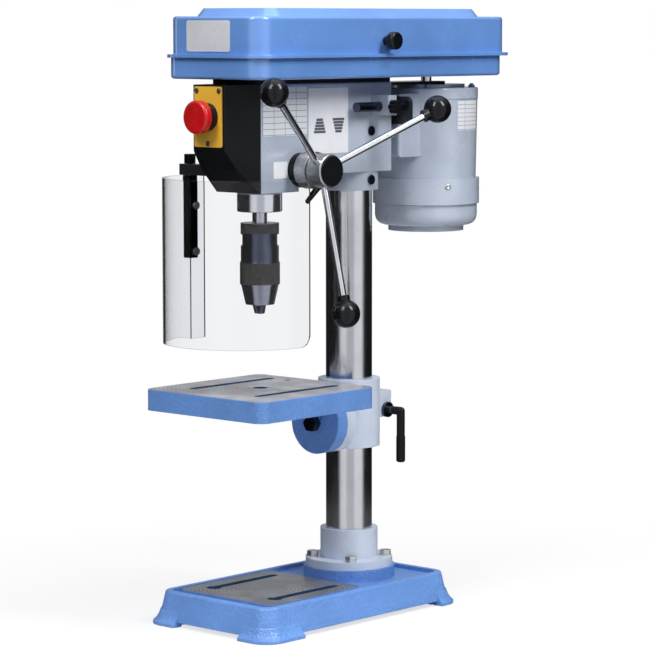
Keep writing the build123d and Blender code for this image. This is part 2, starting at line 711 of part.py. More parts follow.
def make_switch_housing():
    """Switch box on the nose, tapering forward, with a slanted chin."""
    front = NOSE_FRONT - SWITCH_DEPTH
    body = side_cut([(NOSE_FRONT, NOSE_Z), (NOSE_FRONT - SWITCH_CHIN_Y, NOSE_Z + SWITCH_CHIN_RISE),
                     (front, NOSE_Z + SWITCH_FRONT_RISE), (front, HEAD_TOP), (NOSE_FRONT, HEAD_TOP)],
                    -HEAD_HALF, HEAD_HALF)
    plan = Polyline((-HEAD_HALF, NOSE_FRONT, NOSE_Z), (HEAD_HALF, NOSE_FRONT, NOSE_Z),
                    (SWITCH_FRONT_HALF, front, NOSE_Z), (-SWITCH_FRONT_HALF, front, NOSE_Z), close=True)
    body = body & extrude(make_face(plan), HEAD_HEIGHT, dir=(0, 0, 1))
    return fillet(body.faces().sort_by(Axis.Y)[0].edges().filter_by(Axis.Z), SWITCH_EDGE)


def make_switch_plate():
    """Thin plate on the front of the switch box."""
    outline = RectangleRounded(PLATE_WIDTH, PLATE_HEIGHT, PLATE_CORNER)
    place = Pos(0, NOSE_FRONT - SWITCH_DEPTH, NOSE_Z + PLATE_RISE + PLATE_HEIGHT / 2)
    return place * Rot(90, 0, 0) * extrude(outline, PLATE_THICK)


def make_stop_collar():
    """Collar that guides the stop button."""
    body = along_y(STOP_COLLAR_R, STOP_FACE - STOP_COLLAR, STOP_FACE, 0, STOP_Z)
    return body - along_y(STOP_STEM_R + AIR, STOP_FACE - STOP_COLLAR - OVER, STOP_FACE + OVER, 0, STOP_Z)


def make_stop_button():
    """Mushroom button on a stem; it presses in by its travel."""
    back = STOP_FACE - STOP_COLLAR - STOP_TRAVEL - OVER
    head = along_y(STOP_HEAD_R, back - STOP_HEAD, back, 0, STOP_Z)
    head = fillet(head.edges().sort_by(Axis.Y)[0], STOP_DOME)
    return head + along_y(STOP_STEM_R, back, STOP_FACE - STOP_TRAVEL - OVER, 0, STOP_Z)


def make_gasket():
    """Packing between the head and the belt tray."""
    half = HEAD_HALF - GASKET_IN
    body = block(-half, half, NOSE_FRONT - GASKET_AHEAD, HEAD_BACK - GASKET_IN, HEAD_TOP, TRAY_Z)
    return body - disc(BEARING_R, HEAD_TOP - OVER, TRAY_Z + OVER, 0, SPINDLE_Y)


def make_tray():
    """Lower half of the belt cover, open for the pulley sleeve and the sliding motor shaft."""
    half = TRAY_WIDTH / 2
    front = SPINDLE_Y - TRAY_AHEAD
    back = MOTOR_Y + TRAY_BEHIND
    body = slab(-half, half, front, back, TRAY_Z, TRAY_Z + TRAY_HEIGHT, TRAY_CORNER)
    body = fillet(body.faces().sort_by(Axis.Z)[0].edges(), TRAY_EDGE)
    body -= slab(-half + SHEET, half - SHEET, front + SHEET, back - SHEET, TRAY_Z + SHEET,
                 TRAY_Z + TRAY_HEIGHT + OVER, TRAY_CORNER - SHEET)
    body -= disc(SLEEVE_HOLE_R, TRAY_Z - OVER, TRAY_Z + SHEET + OVER, 0, SPINDLE_Y)
    return body - slot(0, MOTOR_Y - MOTOR_TRAVEL, MOTOR_Y, SHAFT_SLOT_R, TRAY_Z - OVER, TRAY_Z + SHEET + OVER)


def lid_outline(grow, corner):
    """Lid plan grown by a margin on every side."""
    half = LID_WIDTH / 2 + grow
    return (-half, half, LID_FRONT - grow, LID_BACK + grow, corner)


def panel_outline(grow):
    """Plan of the raised panel grown by a margin on every side."""
    half = LID_WIDTH / 2 - PANEL_IN - PANEL_SLOPE + grow
    front = LID_FRONT + PANEL_IN_ENDS + PANEL_SLOPE - grow
    return (-half, half, front, LID_BACK - PANEL_BACK_IN - PANEL_SLOPE + grow, PANEL_CORNER + grow)


def make_lid():
    """Upper half of the belt cover: a thin shell with a lip and a raised panel."""
    x0, x1, y0, y1, corner = lid_outline(0, TRAY_CORNER)
    body = slab(x0, x1, y0, y1, LID_Z, LID_TOP, corner)
    body = fillet(body.faces().sort_by(Axis.Z)[-1].edges(), LID_EDGE)
    body += frustum(panel_outline(PANEL_SLOPE), panel_outline(0), LID_TOP, LID_TOP + PANEL_RISE)
    x0, x1, y0, y1, corner = lid_outline(LIP_OUT, TRAY_CORNER + LIP_OUT)
    body += slab(x0, x1, y0, y1, LID_Z, LID_Z + LIP, corner)
    x0, x1, y0, y1, corner = lid_outline(-SHEET, TRAY_CORNER - SHEET)
    body -= slab(x0, x1, y0, y1, LID_Z - OVER, LID_TOP - SHEET, corner)
    return body - frustum(panel_outline(PANEL_SLOPE - SHEET), panel_outline(-SHEET), LID_TOP - SHEET,
                          LID_TOP + PANEL_RISE - SHEET)


def make_lid_knob():
    """Round pull knob on the right wall of the lid."""
    head = Pos(0, 0, LID_KNOB_STEM + LID_KNOB_HEAD / 2) * Cylinder(LID_KNOB_R, LID_KNOB_HEAD)
    head = fillet(head.edges(), LID_KNOB_HEAD / 4)
    knob = head + disc(LID_KNOB_STEM_R, 0, LID_KNOB_STEM + LID_KNOB_HEAD / 2)
    return Pos(LID_WIDTH / 2, LID_KNOB_Y, LID_Z + LID_KNOB_RISE) * Rot(0, 90, 0) * knob


def make_tray_leaves():
    """Hinge halves on the tray wall, each with two knuckles."""
    wall = -TRAY_WIDTH / 2
    top = TRAY_Z + TRAY_HEIGHT - HINGE_LEAF
    span = 1.5 * HINGE_KNUCKLE
    leaves = []
    for y in (HINGE_FRONT_Y, HINGE_BACK_Y):
        leaf = block(wall - HINGE_LEAF, wall, y - span, y + span, top - HINGE_LEAF_H, top)
        for y0, y1 in ((y - span, y - HINGE_KNUCKLE / 2), (y + HINGE_KNUCKLE / 2, y + span)):
            leaf += block(HINGE_X, wall, y0, y1, HINGE_Z - HINGE_R, top)
            leaf += along_y(HINGE_R, y0, y1, HINGE_X, HINGE_Z)
        leaves.append(leaf - along_y(HINGE_PIN_R, y - span - OVER, y + span + OVER, HINGE_X, HINGE_Z))
    return group(leaves)


def make_lid_leaves():
    """Hinge halves on the lid lip, each with one knuckle."""
    edge = -LID_WIDTH / 2 - LIP_OUT
    half = HINGE_KNUCKLE / 2 - AIR
    leaves = []
    for y in (HINGE_FRONT_Y, HINGE_BACK_Y):
        leaf = along_y(HINGE_R, y - half, y + half, HINGE_X, HINGE_Z)
        leaf += block(HINGE_X, edge, y - half, y + half, LID_Z, LID_Z + LIP)
        leaves.append(leaf - along_y(HINGE_PIN_R + RUN, y - half - OVER, y + half + OVER, HINGE_X, HINGE_Z))
    return group(leaves)


def make_hinge_pins():
    """Two hinge pins."""
    span = 1.5 * HINGE_KNUCKLE
    return group([along_y(HINGE_PIN_R, y - span, y + span, HINGE_X, HINGE_Z)
                  for y in (HINGE_FRONT_Y, HINGE_BACK_Y)])


def make_pulley(radii, bore):
    """Stepped cone pulley with one belt groove in each step, from the bottom up."""
    wide = BELT_WIDTH / 2 + AIR
    narrow = BELT_INNER_WIDTH / 2 + AIR
    depth = BELT_THICK + AIR
    outline = [(bore, 0)]
    for i, radius in enumerate(radii):
        low = i * PULLEY_STEP_H
        middle = low + PULLEY_STEP_H / 2
        outline += [(radius, low), (radius, middle - wide), (radius - depth, middle - narrow),
                    (radius - depth, middle + narrow), (radius, middle + wide), (radius, low + PULLEY_STEP_H)]
    outline.append((bore, len(radii) * PULLEY_STEP_H))
    return turned(outline)


def make_belt():
    """V-belt round the middle steps of both pulleys."""
    half = BELT_WIDTH / 2
    inner_half = BELT_INNER_WIDTH / 2
    inner = BELT_R - BELT_THICK
    section = [(inner, -inner_half), (BELT_R, -half), (BELT_R, half), (inner, inner_half)]
    ring = turned(section)
    far = 2 * BELT_R
    belt = Pos(0, SPINDLE_Y, BELT_Z) * (ring & block(-far, far, -far, 0, -far, far))
    belt += Pos(0, MOTOR_Y, BELT_Z) * (ring & block(-far, far, 0, far, -far, far))
    for side in (-1, 1):
        outline = Polyline(*[(side * r, SPINDLE_Y, BELT_Z + z) for r, z in section], close=True)
        belt += extrude(make_face(outline), MOTOR_Y - SPINDLE_Y, dir=(0, 1, 0))
    return belt


def make_pulley_sleeve():
    """Splined drive sleeve that carries the spindle pulley."""
    top = PULLEY_Z + SLEEVE_TOP
    body = disc(SLEEVE_R, BEARING_LOW, top) - disc(SPLINE_R + AIR, BEARING_LOW - OVER, top + OVER)
    body -= splines(SPLINE_W + 2 * AIR, SPLINE_R + SPLINE_H + AIR, BEARING_LOW - OVER, top + OVER)
    return Pos(0, SPINDLE_Y, 0) * body


def splines(width, radius, z0, z1):
    """Crossed bars that make the spline ribs, cut to a radius."""
    bars = block(-width / 2, width / 2, -radius, radius, z0, z1)
    for i in range(1, SPLINES // 2):
        bars += Rot(0, 0, i * 360 / SPLINES) * block(-width / 2, width / 2, -radius, radius, z0, z1)
    return bars & disc(radius, z0, z1)


def make_pulley_bearings():
    """Two ball bearings, drawn closed, under the spindle pulley."""
    rings = []
    for low in (BEARING_LOW, BEARING_LOW + BEARING_H + BEARING_SPACE):
        ring = disc(BEARING_R, low, low + BEARING_H, 0, SPINDLE_Y)
        rings.append(ring - disc(SLEEVE_R + RUN, low - OVER, low + BEARING_H + OVER, 0, SPINDLE_Y))
    return group(rings)


def motor_barrel():
    """Tapered outside of the motor barrel."""
    middle = MOTOR_SEAM - MOTOR_HOUSING_H / 2
    return Pos(0, MOTOR_Y, middle) * Cone(MOTOR_LOW_R, MOTOR_R, MOTOR_HOUSING_H)


def motor_rim():
    """Outside of the upper end shield below its raised middle."""
    rim = disc(MOTOR_R + MOTOR_SHIELD_OUT, MOTOR_SEAM, MOTOR_TOP - MOTOR_RAISED_H, 0, MOTOR_Y)
    return fillet(rim.edges().sort_by(Axis.Z)[-1], MOTOR_SHIELD_EDGE)


def make_motor_housing():
    """Motor barrel with a blind bore for the shaft."""
    bore_low = MOTOR_TOP - MOTOR_SHAFT_IN - AIR
    return motor_barrel() - disc(MOTOR_SHAFT_R + AIR, bore_low, MOTOR_SEAM + OVER, 0, MOTOR_Y)


def make_motor_shield():
    """Upper end shield with a raised middle and the shaft bearing."""
    body = motor_rim() + disc(MOTOR_RAISED_R, MOTOR_SEAM, MOTOR_TOP, 0, MOTOR_Y)
    return body - disc(MOTOR_SHAFT_R + RUN, MOTOR_SEAM - OVER, MOTOR_TOP + OVER, 0, MOTOR_Y)


def make_motor_bell():
    """Lower end bell: a wide band, a step and a rounded bowl."""
    top = MOTOR_SEAM - MOTOR_HOUSING_H
    band = top - MOTOR_BAND_H
    side = MOTOR_LOW + MOTOR_BELL_ROUND
    with BuildSketch(Plane.XZ) as outline:
        with BuildLine():
            Polyline((0, MOTOR_LOW), (MOTOR_BELL_LOW_R, MOTOR_LOW))
            Spline((MOTOR_BELL_LOW_R, MOTOR_LOW), (MOTOR_BELL_R, side), tangents=((1, 0), (0, 1)))
            Polyline((MOTOR_BELL_R, side), (MOTOR_BELL_R, band), (MOTOR_BAND_R, band), (MOTOR_BAND_R, top),
                     (0, top), (0, MOTOR_LOW))
        make_face()
    return Pos(0, MOTOR_Y, 0) * revolve(outline.sketch, Axis.Z)


def make_terminal_box():
    """Terminal box on the front of the motor, behind the cross bar."""
    top = MOTOR_TOP - BOX_DROP
    front = MOTOR_BAR_Y + MOTOR_BAR + AIR
    body = block(-BOX_HALF, BOX_HALF, front, MOTOR_Y, top - BOX_H, top)
    body = fillet(body.faces().sort_by(Axis.Y)[0].edges(), BOX_EDGE)
    return body - motor_barrel() - motor_rim()


def make_motor_bracket():
    """Motor plate on a cross bar that joins the two tension rods."""
    back = MOTOR_BAR_Y + MOTOR_BAR
    reach = ROD_X + MOTOR_BAR_ROUND
    half = MOTOR_PLATE_HALF
    body = block(-reach, reach, MOTOR_BAR_Y, back, ROD_Z - MOTOR_BAR_BELOW, ROD_Z + MOTOR_BAR_ABOVE)
    body = fillet(body.edges().filter_by(Axis.Y), MOTOR_BAR_ROUND)
    body += block(-half, half, MOTOR_BAR_Y, back, ROD_Z, MOTOR_PLATE_TOP)
    body += block(-half, half, MOTOR_BAR_Y, MOTOR_Y + MOTOR_PLATE_BACK, MOTOR_TOP, MOTOR_PLATE_TOP)
    for x in (-ROD_X, ROD_X):
        body -= along_y(ROD_R, MOTOR_BAR_Y - OVER, back + OVER, x, ROD_Z)
    return body - disc(MOTOR_SHAFT_R + AIR, MOTOR_TOP - OVER, MOTOR_PLATE_TOP + OVER, 0, MOTOR_Y)


def make_tension_knob():
    """Lobed knob on a stud that locks the right tension rod."""
    body = Cylinder(KNOB_R, KNOB_LENGTH)
    for i in range(KNOB_LOBES):
        body -= Rot(0, 0, i * 360 / KNOB_LOBES) * Pos(KNOB_R + KNOB_LOBE_R / 2, 0, 0) * Cylinder(
            KNOB_LOBE_R, KNOB_LENGTH + OVER)
    knob = Pos(KNOB_X + KNOB_LENGTH / 2, KNOB_Y, ROD_Z) * Rot(0, 90, 0) * body
    return knob + along_x(KNOB_STUD_R, ROD_X + ROD_R + AIR, KNOB_X + OVER, KNOB_Y, ROD_Z)


def make_quill():
    """Quill tube with bearing seats and a rack cut along its back."""
    body = disc(QUILL_R, QUILL_LOW, QUILL_TOP) - disc(QUILL_BORE_R, QUILL_LOW - OVER, QUILL_TOP + OVER)
    body -= disc(QUILL_BEARING_R, QUILL_LOW - OVER, QUILL_LOW + QUILL_BEARING_H)
    body -= disc(QUILL_BEARING_R, QUILL_TOP - QUILL_BEARING_H, QUILL_TOP + OVER)
    tip = RACK_LINE + RACK_TIP
    root = RACK_LINE - RACK_ROOT
    far = QUILL_R + OVER
    body -= block(-far, far, tip, far, FEED_Z - RACK_BELOW, QUILL_TOP + OVER)
    lean = math.tan(math.radians(PRESSURE_ANGLE))
    root_half = GEAR_PITCH / 4 - RACK_ROOT * lean
    tip_half = GEAR_PITCH / 4 + (RACK_TIP + OVER) * lean
    first = -math.floor(RACK_BELOW / GEAR_PITCH)
    last = math.ceil((QUILL_TOP - FEED_Z) / GEAR_PITCH)
    spaces = []
    for k in range(first, last + 1):
        z = FEED_Z + k * GEAR_PITCH
        spaces.append(side_cut([(root, z - root_half), (tip + OVER, z - tip_half), (tip + OVER, z + tip_half),
                                (root, z + root_half)], -far, far))
    return Pos(0, SPINDLE_Y, 0) * (body - spaces)


def make_quill_collar():
    """Polished collar pressed on the lower end of the quill."""
    body = disc(COLLAR_R, QUILL_LOW, QUILL_LOW + COLLAR_H)
    body = fillet(body.edges(), COLLAR_EDGE)
    return Pos(0, SPINDLE_Y, 0) * (body - disc(QUILL_R, QUILL_LOW - OVER, QUILL_LOW + COLLAR_H + OVER))


def make_quill_bearings():
    """Two ball bearings, drawn closed, in the quill."""
    rings = []
    for low in (QUILL_LOW, QUILL_TOP - QUILL_BEARING_H):
        ring = disc(QUILL_BEARING_R, low, low + QUILL_BEARING_H, 0, SPINDLE_Y)
        rings.append(ring - disc(SPINDLE_R + RUN, low - OVER, low + QUILL_BEARING_H + OVER, 0, SPINDLE_Y))
    return group(rings)


def taper_plug():
    """Short cone that joins the spindle and the chuck."""
    low = CHUCK_TOP - SPINDLE_TAPER
    return turned([(0, low), (SPINDLE_TAPER_END_R, low), (SPINDLE_TAPER_R, CHUCK_TOP), (0, CHUCK_TOP)])


def make_spindle():
    """Spindle with a splined upper end and a cone for the chuck."""
    top = QUILL_TOP + SPINDLE_TOP
    body = taper_plug() + disc(SPINDLE_R, CHUCK_TOP, QUILL_TOP) + disc(SPLINE_R, QUILL_TOP, top)
    body += splines(SPLINE_W, SPLINE_R + SPLINE_H, QUILL_TOP + OVER, top)
    return Pos(0, SPINDLE_Y, 0) * body


def jaw_place(i, travel):
    """Location of a jaw axis, moved along its own slope by a travel."""
    turn = Rot(0, 0, 90 + i * 360 / JAWS)
    return Pos(0, SPINDLE_Y, JAW_LOW) * turn * Pos(JAW_TIP_R, 0, 0) * Rot(0, JAW_ANGLE, 0) * Pos(0, 0, travel)


def make_chuck_body():
    """Chuck core with a ring on top, three sloped jaw bores and a cone socket."""
    body = turned([(0, CHUCK_LOW), (CHUCK_NOSE_R, CHUCK_LOW), (CHUCK_CORE_R, CONE_HIGH),
                   (CHUCK_CORE_R, CHUCK_NECK), (CHUCK_TOP_R, CHUCK_NECK), (CHUCK_TOP_R, CHUCK_TOP),
                   (0, CHUCK_TOP)])
    body = Pos(0, SPINDLE_Y, 0) * (body - taper_plug())
    depth = JAW_LENGTH + JAW_TRAVEL + OVER
    for i in range(JAWS):
        body -= jaw_place(i, depth / 2) * Cylinder(JAW_R + JAW_FIT, depth)
    return body


def make_chuck_sleeve():
    """Gripped sleeve that turns on the chuck core and drives the jaws."""
    fit = CHUCK_FIT
    body = turned([(CHUCK_NOSE_R + fit, CHUCK_LOW), (SLEEVE_CONE_END_R, CHUCK_LOW),
                   (SLEEVE_CONE_R, CONE_HIGH),
                   (SLEEVE_GRIP_R, CONE_HIGH), (SLEEVE_GRIP_R, GRIP_HIGH), (SLEEVE_UPPER_R, GRIP_HIGH),
                   (SLEEVE_UPPER_R, SLEEVE_HIGH), (CHUCK_CORE_R + fit, SLEEVE_HIGH),
                   (CHUCK_CORE_R + fit, CONE_HIGH)])
    return Pos(0, SPINDLE_Y, 0) * body


def make_jaw(i):
    """One chuck jaw: a sloped pin cut to its third of the circle."""
    pin = jaw_place(i, JAW_LENGTH / 2 - JAW_R) * Cylinder(JAW_R, JAW_LENGTH + 2 * JAW_R)
    far = 2 * CHUCK_TOP_R
    near = JAW_SPLIT / math.sin(math.radians(180 / JAWS))
    side = far * math.tan(math.radians(180 / JAWS))
    wide = near + far
    wedge = Polyline((near, 0, JAW_LOW), (wide, -side, JAW_LOW), (wide, side, JAW_LOW), close=True)
    third = extrude(make_face(wedge), JAW_LENGTH, dir=(0, 0, 1))
    third = Pos(0, SPINDLE_Y, 0) * Rot(0, 0, 90 + i * 360 / JAWS) * third
    return (pin & third) - disc(JAW_GRIP_R, JAW_LOW - OVER, CHUCK_TOP, 0, SPINDLE_Y)


def make_pinion():
    """Involute pinion of the feed, with one tooth pointing at the rack."""
    base = PINION_R * math.cos(math.radians(PRESSURE_ANGLE))
    tip = PINION_R + PINION_TIP
    root = PINION_R - PINION_ROOT
    half = (GEAR_PITCH / 2 - BACKLASH) / 2 / PINION_R
    start = half + involute(base, PINION_R)
    flank = [(root, start), (base, start)]
    for i in range(1, PINION_FLANK + 1):
        radius = base + (tip - base) * i / PINION_FLANK
        flank.append((radius, start - involute(base, radius)))
    outline = []
    for k in range(PINION_TEETH):
        middle = math.pi + k * 2 * math.pi / PINION_TEETH
        outline += [(r, middle - a) for r, a in flank]
        outline += [(r, middle + a) for r, a in reversed(flank)]
    points = [(FEED_Y + r * math.cos(a), FEED_Z + r * math.sin(a)) for r, a in outline]
    return side_cut(points, -PINION_HALF, PINION_HALF)


def involute(base, radius):
    """Involute angle at a radius above the base circle."""
    angle = math.acos(base / radius)
    return math.tan(angle) - angle


def make_feed_shaft():
    """Feed shaft with its pinion, from the spring end on the left to the hub on the right."""
    body = make_pinion()
    steps = [(FEED_SPRING_R, -FEED_SPRING_X, -HEAD_HALF), (FEED_LEFT_R, -HEAD_HALF, -PINION_HALF),
             (FEED_LEFT_R, PINION_HALF, FEED_JOURNAL_X),
             (FEED_JOURNAL_R, FEED_JOURNAL_X, HEAD_HALF + FEED_FLANGE),
             (DEPTH_RING_BORE_R, HEAD_HALF + FEED_FLANGE, HUB_X), (HUB_BORE_R, HUB_X, CAP_X)]
    for radius, x0, x1 in steps:
        body += along_x(radius, x0, x1, FEED_Y, FEED_Z)
    return body


def on_spoke(i):
    """Location at the root of a spoke, with Z along it."""
    lean = math.degrees(math.atan2(SPOKE_RUN, SPOKE_REACH))
    root = Pos(HUB_X + SPOKE_ROOT_X, FEED_Y, FEED_Z)
    return root * Rot(SPOKE_FIRST + i * 360 / SPOKES, 0, 0) * Rot(0, 0, -lean) * Rot(-90, 0, 0)


def spoke_bar(i):
    """One spoke, from inside the hub to inside its ball."""
    return on_spoke(i) * disc(SPOKE_R, SPOKE_START, SPOKE_LENGTH - SPOKE_IN_BALL)


def make_hub():
    """Feed hub with three sloped spoke bores."""
    body = along_x(HUB_R, HUB_X, CAP_X, FEED_Y, FEED_Z)
    body = fillet(body.edges(), HUB_EDGE)
    body -= along_x(HUB_BORE_R, HUB_X - OVER, CAP_X + OVER, FEED_Y, FEED_Z)
    return body - [spoke_bar(i) for i in range(SPOKES)]


def make_ball(i):
    """Ball knob with a short neck on the end of a spoke."""
    ball = Pos(0, 0, SPOKE_LENGTH) * Sphere(BALL_R)
    ball += disc(BALL_NECK_R, SPOKE_LENGTH - BALL_NECK, SPOKE_LENGTH)
    return on_spoke(i) * ball - spoke_bar(i)


def make_return_spring():
    """Flat spiral spring that lifts the quill."""
    inner = FEED_SPRING_R + AIR
    outer = SPRING_CAP_R - SPRING_CAP_EDGE - SPRING_STRIP
    count = SPRING_TURN_COUNT * SPRING_POINT_COUNT
    inside = []
    outside = []
    for i in range(count + 1):
        angle = 2 * math.pi * i / SPRING_POINT_COUNT
        radius = inner + (outer - inner) * i / count
        for line, r in ((inside, radius), (outside, radius + SPRING_STRIP)):
            line.append((FEED_Y + r * math.cos(angle), FEED_Z + r * math.sin(angle)))
    start = -HEAD_HALF - SPRING_CAP + SPRING_CAP_EDGE + OVER
    return side_cut(inside + outside[::-1], start, start + SPRING_WIDTH)


def make_spring_cap():
    """Cup over the return spring on the left face of the head."""
    left = -HEAD_HALF - SPRING_CAP
    cup = along_x(SPRING_CAP_R, left, -HEAD_HALF, FEED_Y, FEED_Z)
    cup = fillet(cup.edges().sort_by(Axis.X)[0], SPRING_CAP_EDGE)
    return cup - along_x(SPRING_CAP_R - SPRING_CAP_EDGE, left + SPRING_CAP_EDGE, -HEAD_HALF + OVER,
                         FEED_Y, FEED_Z)


def make_lock_lever():
    """Quill lock: a screw across the split nose with a tapered lever on its head."""
    seat = HEAD_HALF + AIR
    body = along_x(LOCK_SCREW_R, HEAD_HALF - LOCK_SCREW, seat, LOCK_Y, LOCK_Z)
    body += along_x(LOCK_HUB_R, seat, seat + LOCK_HUB, LOCK_Y, LOCK_Z)
    reach = math.hypot(LOCK_TIP_Y, LOCK_TIP_Z)
    root = Plane((seat + LOCK_HUB / 2, LOCK_Y, LOCK_Z), z_dir=(0, LOCK_TIP_Y, LOCK_TIP_Z))
    arm = Pos(0, 0, reach / 2) * Cone(LOCK_ROOT_R, LOCK_TIP_R, reach) + Pos(0, 0, reach) * Sphere(LOCK_TIP_R)
    return body + root.location * arm


def make_guard_arm():
    """Arm that carries the guard, on a plate screwed to the left face of the head."""
    middle = ARM_Z + ARM_H / 2
    half = ARM_WIDTH / 2
    body = block(POST_X - ARM_END, -HEAD_HALF - ARM_PLATE, POST_Y - half, POST_Y + half, ARM_Z, ARM_Z + ARM_H)
    body += block(-HEAD_HALF - ARM_PLATE, -HEAD_HALF, POST_Y - half - ARM_PLATE_FRONT,
                  POST_Y + half + ARM_PLATE_BACK, middle - ARM_PLATE_H / 2, middle + ARM_PLATE_H / 2)
    return body - disc(PIVOT_R + RUN, ARM_Z - OVER, ARM_Z + ARM_H + OVER, POST_X, POST_Y)


def guard_screw_heights():
    """Heights of the two screws that hold the shield on its post."""
    return (POST_TOP - GUARD_SCREW_HIGH, POST_TOP - GUARD_SCREW_LOW)


def make_guard_post():
    """Square post under the arm that the shield is screwed to."""
    half = POST_SIZE / 2
    body = block(POST_X - half, POST_X + half, POST_Y - half, POST_Y + half, POST_TOP - POST_LENGTH, POST_TOP)
    body -= disc(PIVOT_R, POST_TOP - PIVOT_IN, POST_TOP + OVER, POST_X, POST_Y)
    for z in guard_screw_heights():
        body -= along_x(GUARD_SCREW_R, POST_X + half - GUARD_SCREW_IN, POST_X + half + OVER, POST_Y, z)
    return body


def make_guard_screws():
    """Two round-headed screws through the shield into the post."""
    face = POST_X + POST_SIZE / 2
    seat = face + GUARD_SHEET
    return group([along_x(GUARD_SCREW_R, face - GUARD_SCREW_IN, seat, POST_Y, z)
                  + along_x(GUARD_SCREW_HEAD_R, seat, seat + GUARD_SCREW_HEAD, POST_Y, z)
                  for z in guard_screw_heights()])


def make_pivot_bolt():
    """Bolt that hangs the post from the arm and lets it swing."""
    seat = ARM_Z + ARM_H + AIR
    shank = disc(PIVOT_R, POST_TOP - PIVOT_IN, seat, POST_X, POST_Y)
    return shank + Pos(POST_X, POST_Y, seat) * hexagon(PIVOT_AF, PIVOT_HEAD)


def make_shield():
    """Clear sheet bent to a half circle, with a folded flange on the left."""
    low = NOSE_Z - GUARD_BOTTOM
    high = POST_TOP - AIR
    inner = GUARD_R - GUARD_SHEET
    post_face = POST_X + POST_SIZE / 2
    fold = POST_Y - POST_SIZE / 2 - AIR
    far = 2 * GUARD_R
    body = disc(GUARD_R, low, high) - disc(inner, low - OVER, high + OVER)
    left = fold - GUARD_Y
    body &= block(-far, 0, -far, left, low, high) + block(0, far, -far, 0, low, high)
    body += block(inner, GUARD_R, 0, GUARD_STRAIGHT, low, high)
    end = body.edges().filter_by(Axis.X).group_by(Axis.Y)[-1]
    body = Pos(GUARD_X, GUARD_Y, 0) * fillet(end, GUARD_CORNER)
    start = GUARD_X - math.sqrt(inner ** 2 - left ** 2)
    body += block(start, post_face + GUARD_SHEET, fold - GUARD_SHEET, fold, low, high)
    body += block(post_face, post_face + GUARD_SHEET, fold, fold + POST_TURN_IN, low, high)
    for z in guard_screw_heights():
        body -= along_x(GUARD_SCREW_R, post_face - OVER, post_face + GUARD_SHEET + OVER, POST_Y, z)
    return body


parts["head_casting"] = make_head()
parts["head_set_screws"] = make_set_screws()
parts["switch_housing"] = make_switch_housing()
parts["switch_plate"] = make_switch_plate()
parts["stop_collar"] = make_stop_collar()
parts["stop_button"] = make_stop_button()
parts["tray_gasket"] = make_gasket()
parts["belt_tray"] = make_tray()
parts["belt_lid"] = make_lid()
parts["lid_knob"] = make_lid_knob()
parts["tray_hinge_leaves"] = make_tray_leaves()
parts["lid_hinge_leaves"] = make_lid_leaves()
parts["hinge_pins"] = make_hinge_pins()

parts["spindle_pulley"] = Pos(0, SPINDLE_Y, PULLEY_Z) * make_pulley(PULLEY_RADII[::-1], SLEEVE_R)
parts["pulley_sleeve"] = make_pulley_sleeve()
parts["pulley_bearings"] = make_pulley_bearings()
parts["drive_belt"] = make_belt()
parts["motor_pulley"] = Pos(0, MOTOR_Y, PULLEY_Z) * make_pulley(PULLEY_RADII, MOTOR_SHAFT_R)
parts["motor_shaft"] = disc(MOTOR_SHAFT_R, MOTOR_TOP - MOTOR_SHAFT_IN, PULLEY_TOP, 0, MOTOR_Y)
parts["motor_housing"] = make_motor_housing()
parts["motor_top_shield"] = make_motor_shield()
parts["motor_end_bell"] = make_motor_bell()
parts["motor_bottom_cover"] = disc(MOTOR_COVER_R, MOTOR_LOW - MOTOR_COVER_H, MOTOR_LOW, 0, MOTOR_Y)
parts["terminal_box"] = make_terminal_box()
parts["motor_bracket"] = make_motor_bracket()
parts["tension_rods"] = group([along_y(ROD_R, ROD_FRONT, MOTOR_BAR_Y + MOTOR_BAR, x, ROD_Z)
                               for x in (-ROD_X, ROD_X)])
parts["tension_knob"] = make_tension_knob()

parts["quill"] = make_quill()
parts["quill_collar"] = make_quill_collar()
parts["quill_bearings"] = make_quill_bearings()
parts["spindle"] = make_spindle()
parts["chuck_body"] = make_chuck_body()
parts["chuck_sleeve"] = make_chuck_sleeve()
for number in range(JAWS):
    parts[f"chuck_jaw_{number + 1}"] = make_jaw(number)
parts["feed_shaft"] = make_feed_shaft()
parts["feed_flange"] = along_x(FEED_FLANGE_R, HEAD_HALF, HEAD_HALF + FEED_FLANGE, FEED_Y, FEED_Z) - along_x(
    FEED_JOURNAL_R + RUN, HEAD_HALF - OVER, HEAD_HALF + FEED_FLANGE + OVER, FEED_Y, FEED_Z)
parts["depth_ring"] = along_x(DEPTH_RING_R, RING_X, RING_X + DEPTH_RING, FEED_Y, FEED_Z) - along_x(
    DEPTH_RING_BORE_R + RUN, RING_X - OVER, RING_X + DEPTH_RING + OVER, FEED_Y, FEED_Z)
parts["feed_hub"] = make_hub()
parts["feed_spokes"] = group([spoke_bar(i) for i in range(SPOKES)])
parts["feed_knobs"] = group([make_ball(i) for i in range(SPOKES)])
parts["feed_cap"] = along_x(FEED_CAP_R, CAP_X, CAP_X + FEED_CAP, FEED_Y, FEED_Z)
parts["return_spring"] = make_return_spring()
parts["spring_cap"] = make_spring_cap()
parts["quill_lock_lever"] = make_lock_lever()
parts["guard_arm"] = make_guard_arm()
parts["guard_post"] = make_guard_post()
parts["guard_screws"] = make_guard_screws()
parts["guard_pivot_bolt"] = make_pivot_bolt()
parts["guard_shield"] = make_shield()

os.makedirs("parts", exist_ok=True)
for name, shape in parts.items():
    export_step(Pos(COLUMN_X, COLUMN_Y, 0) * shape, f"parts/{name}.step")
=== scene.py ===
import json
import math

import bmesh
import bpy
from mathutils import Matrix, Vector


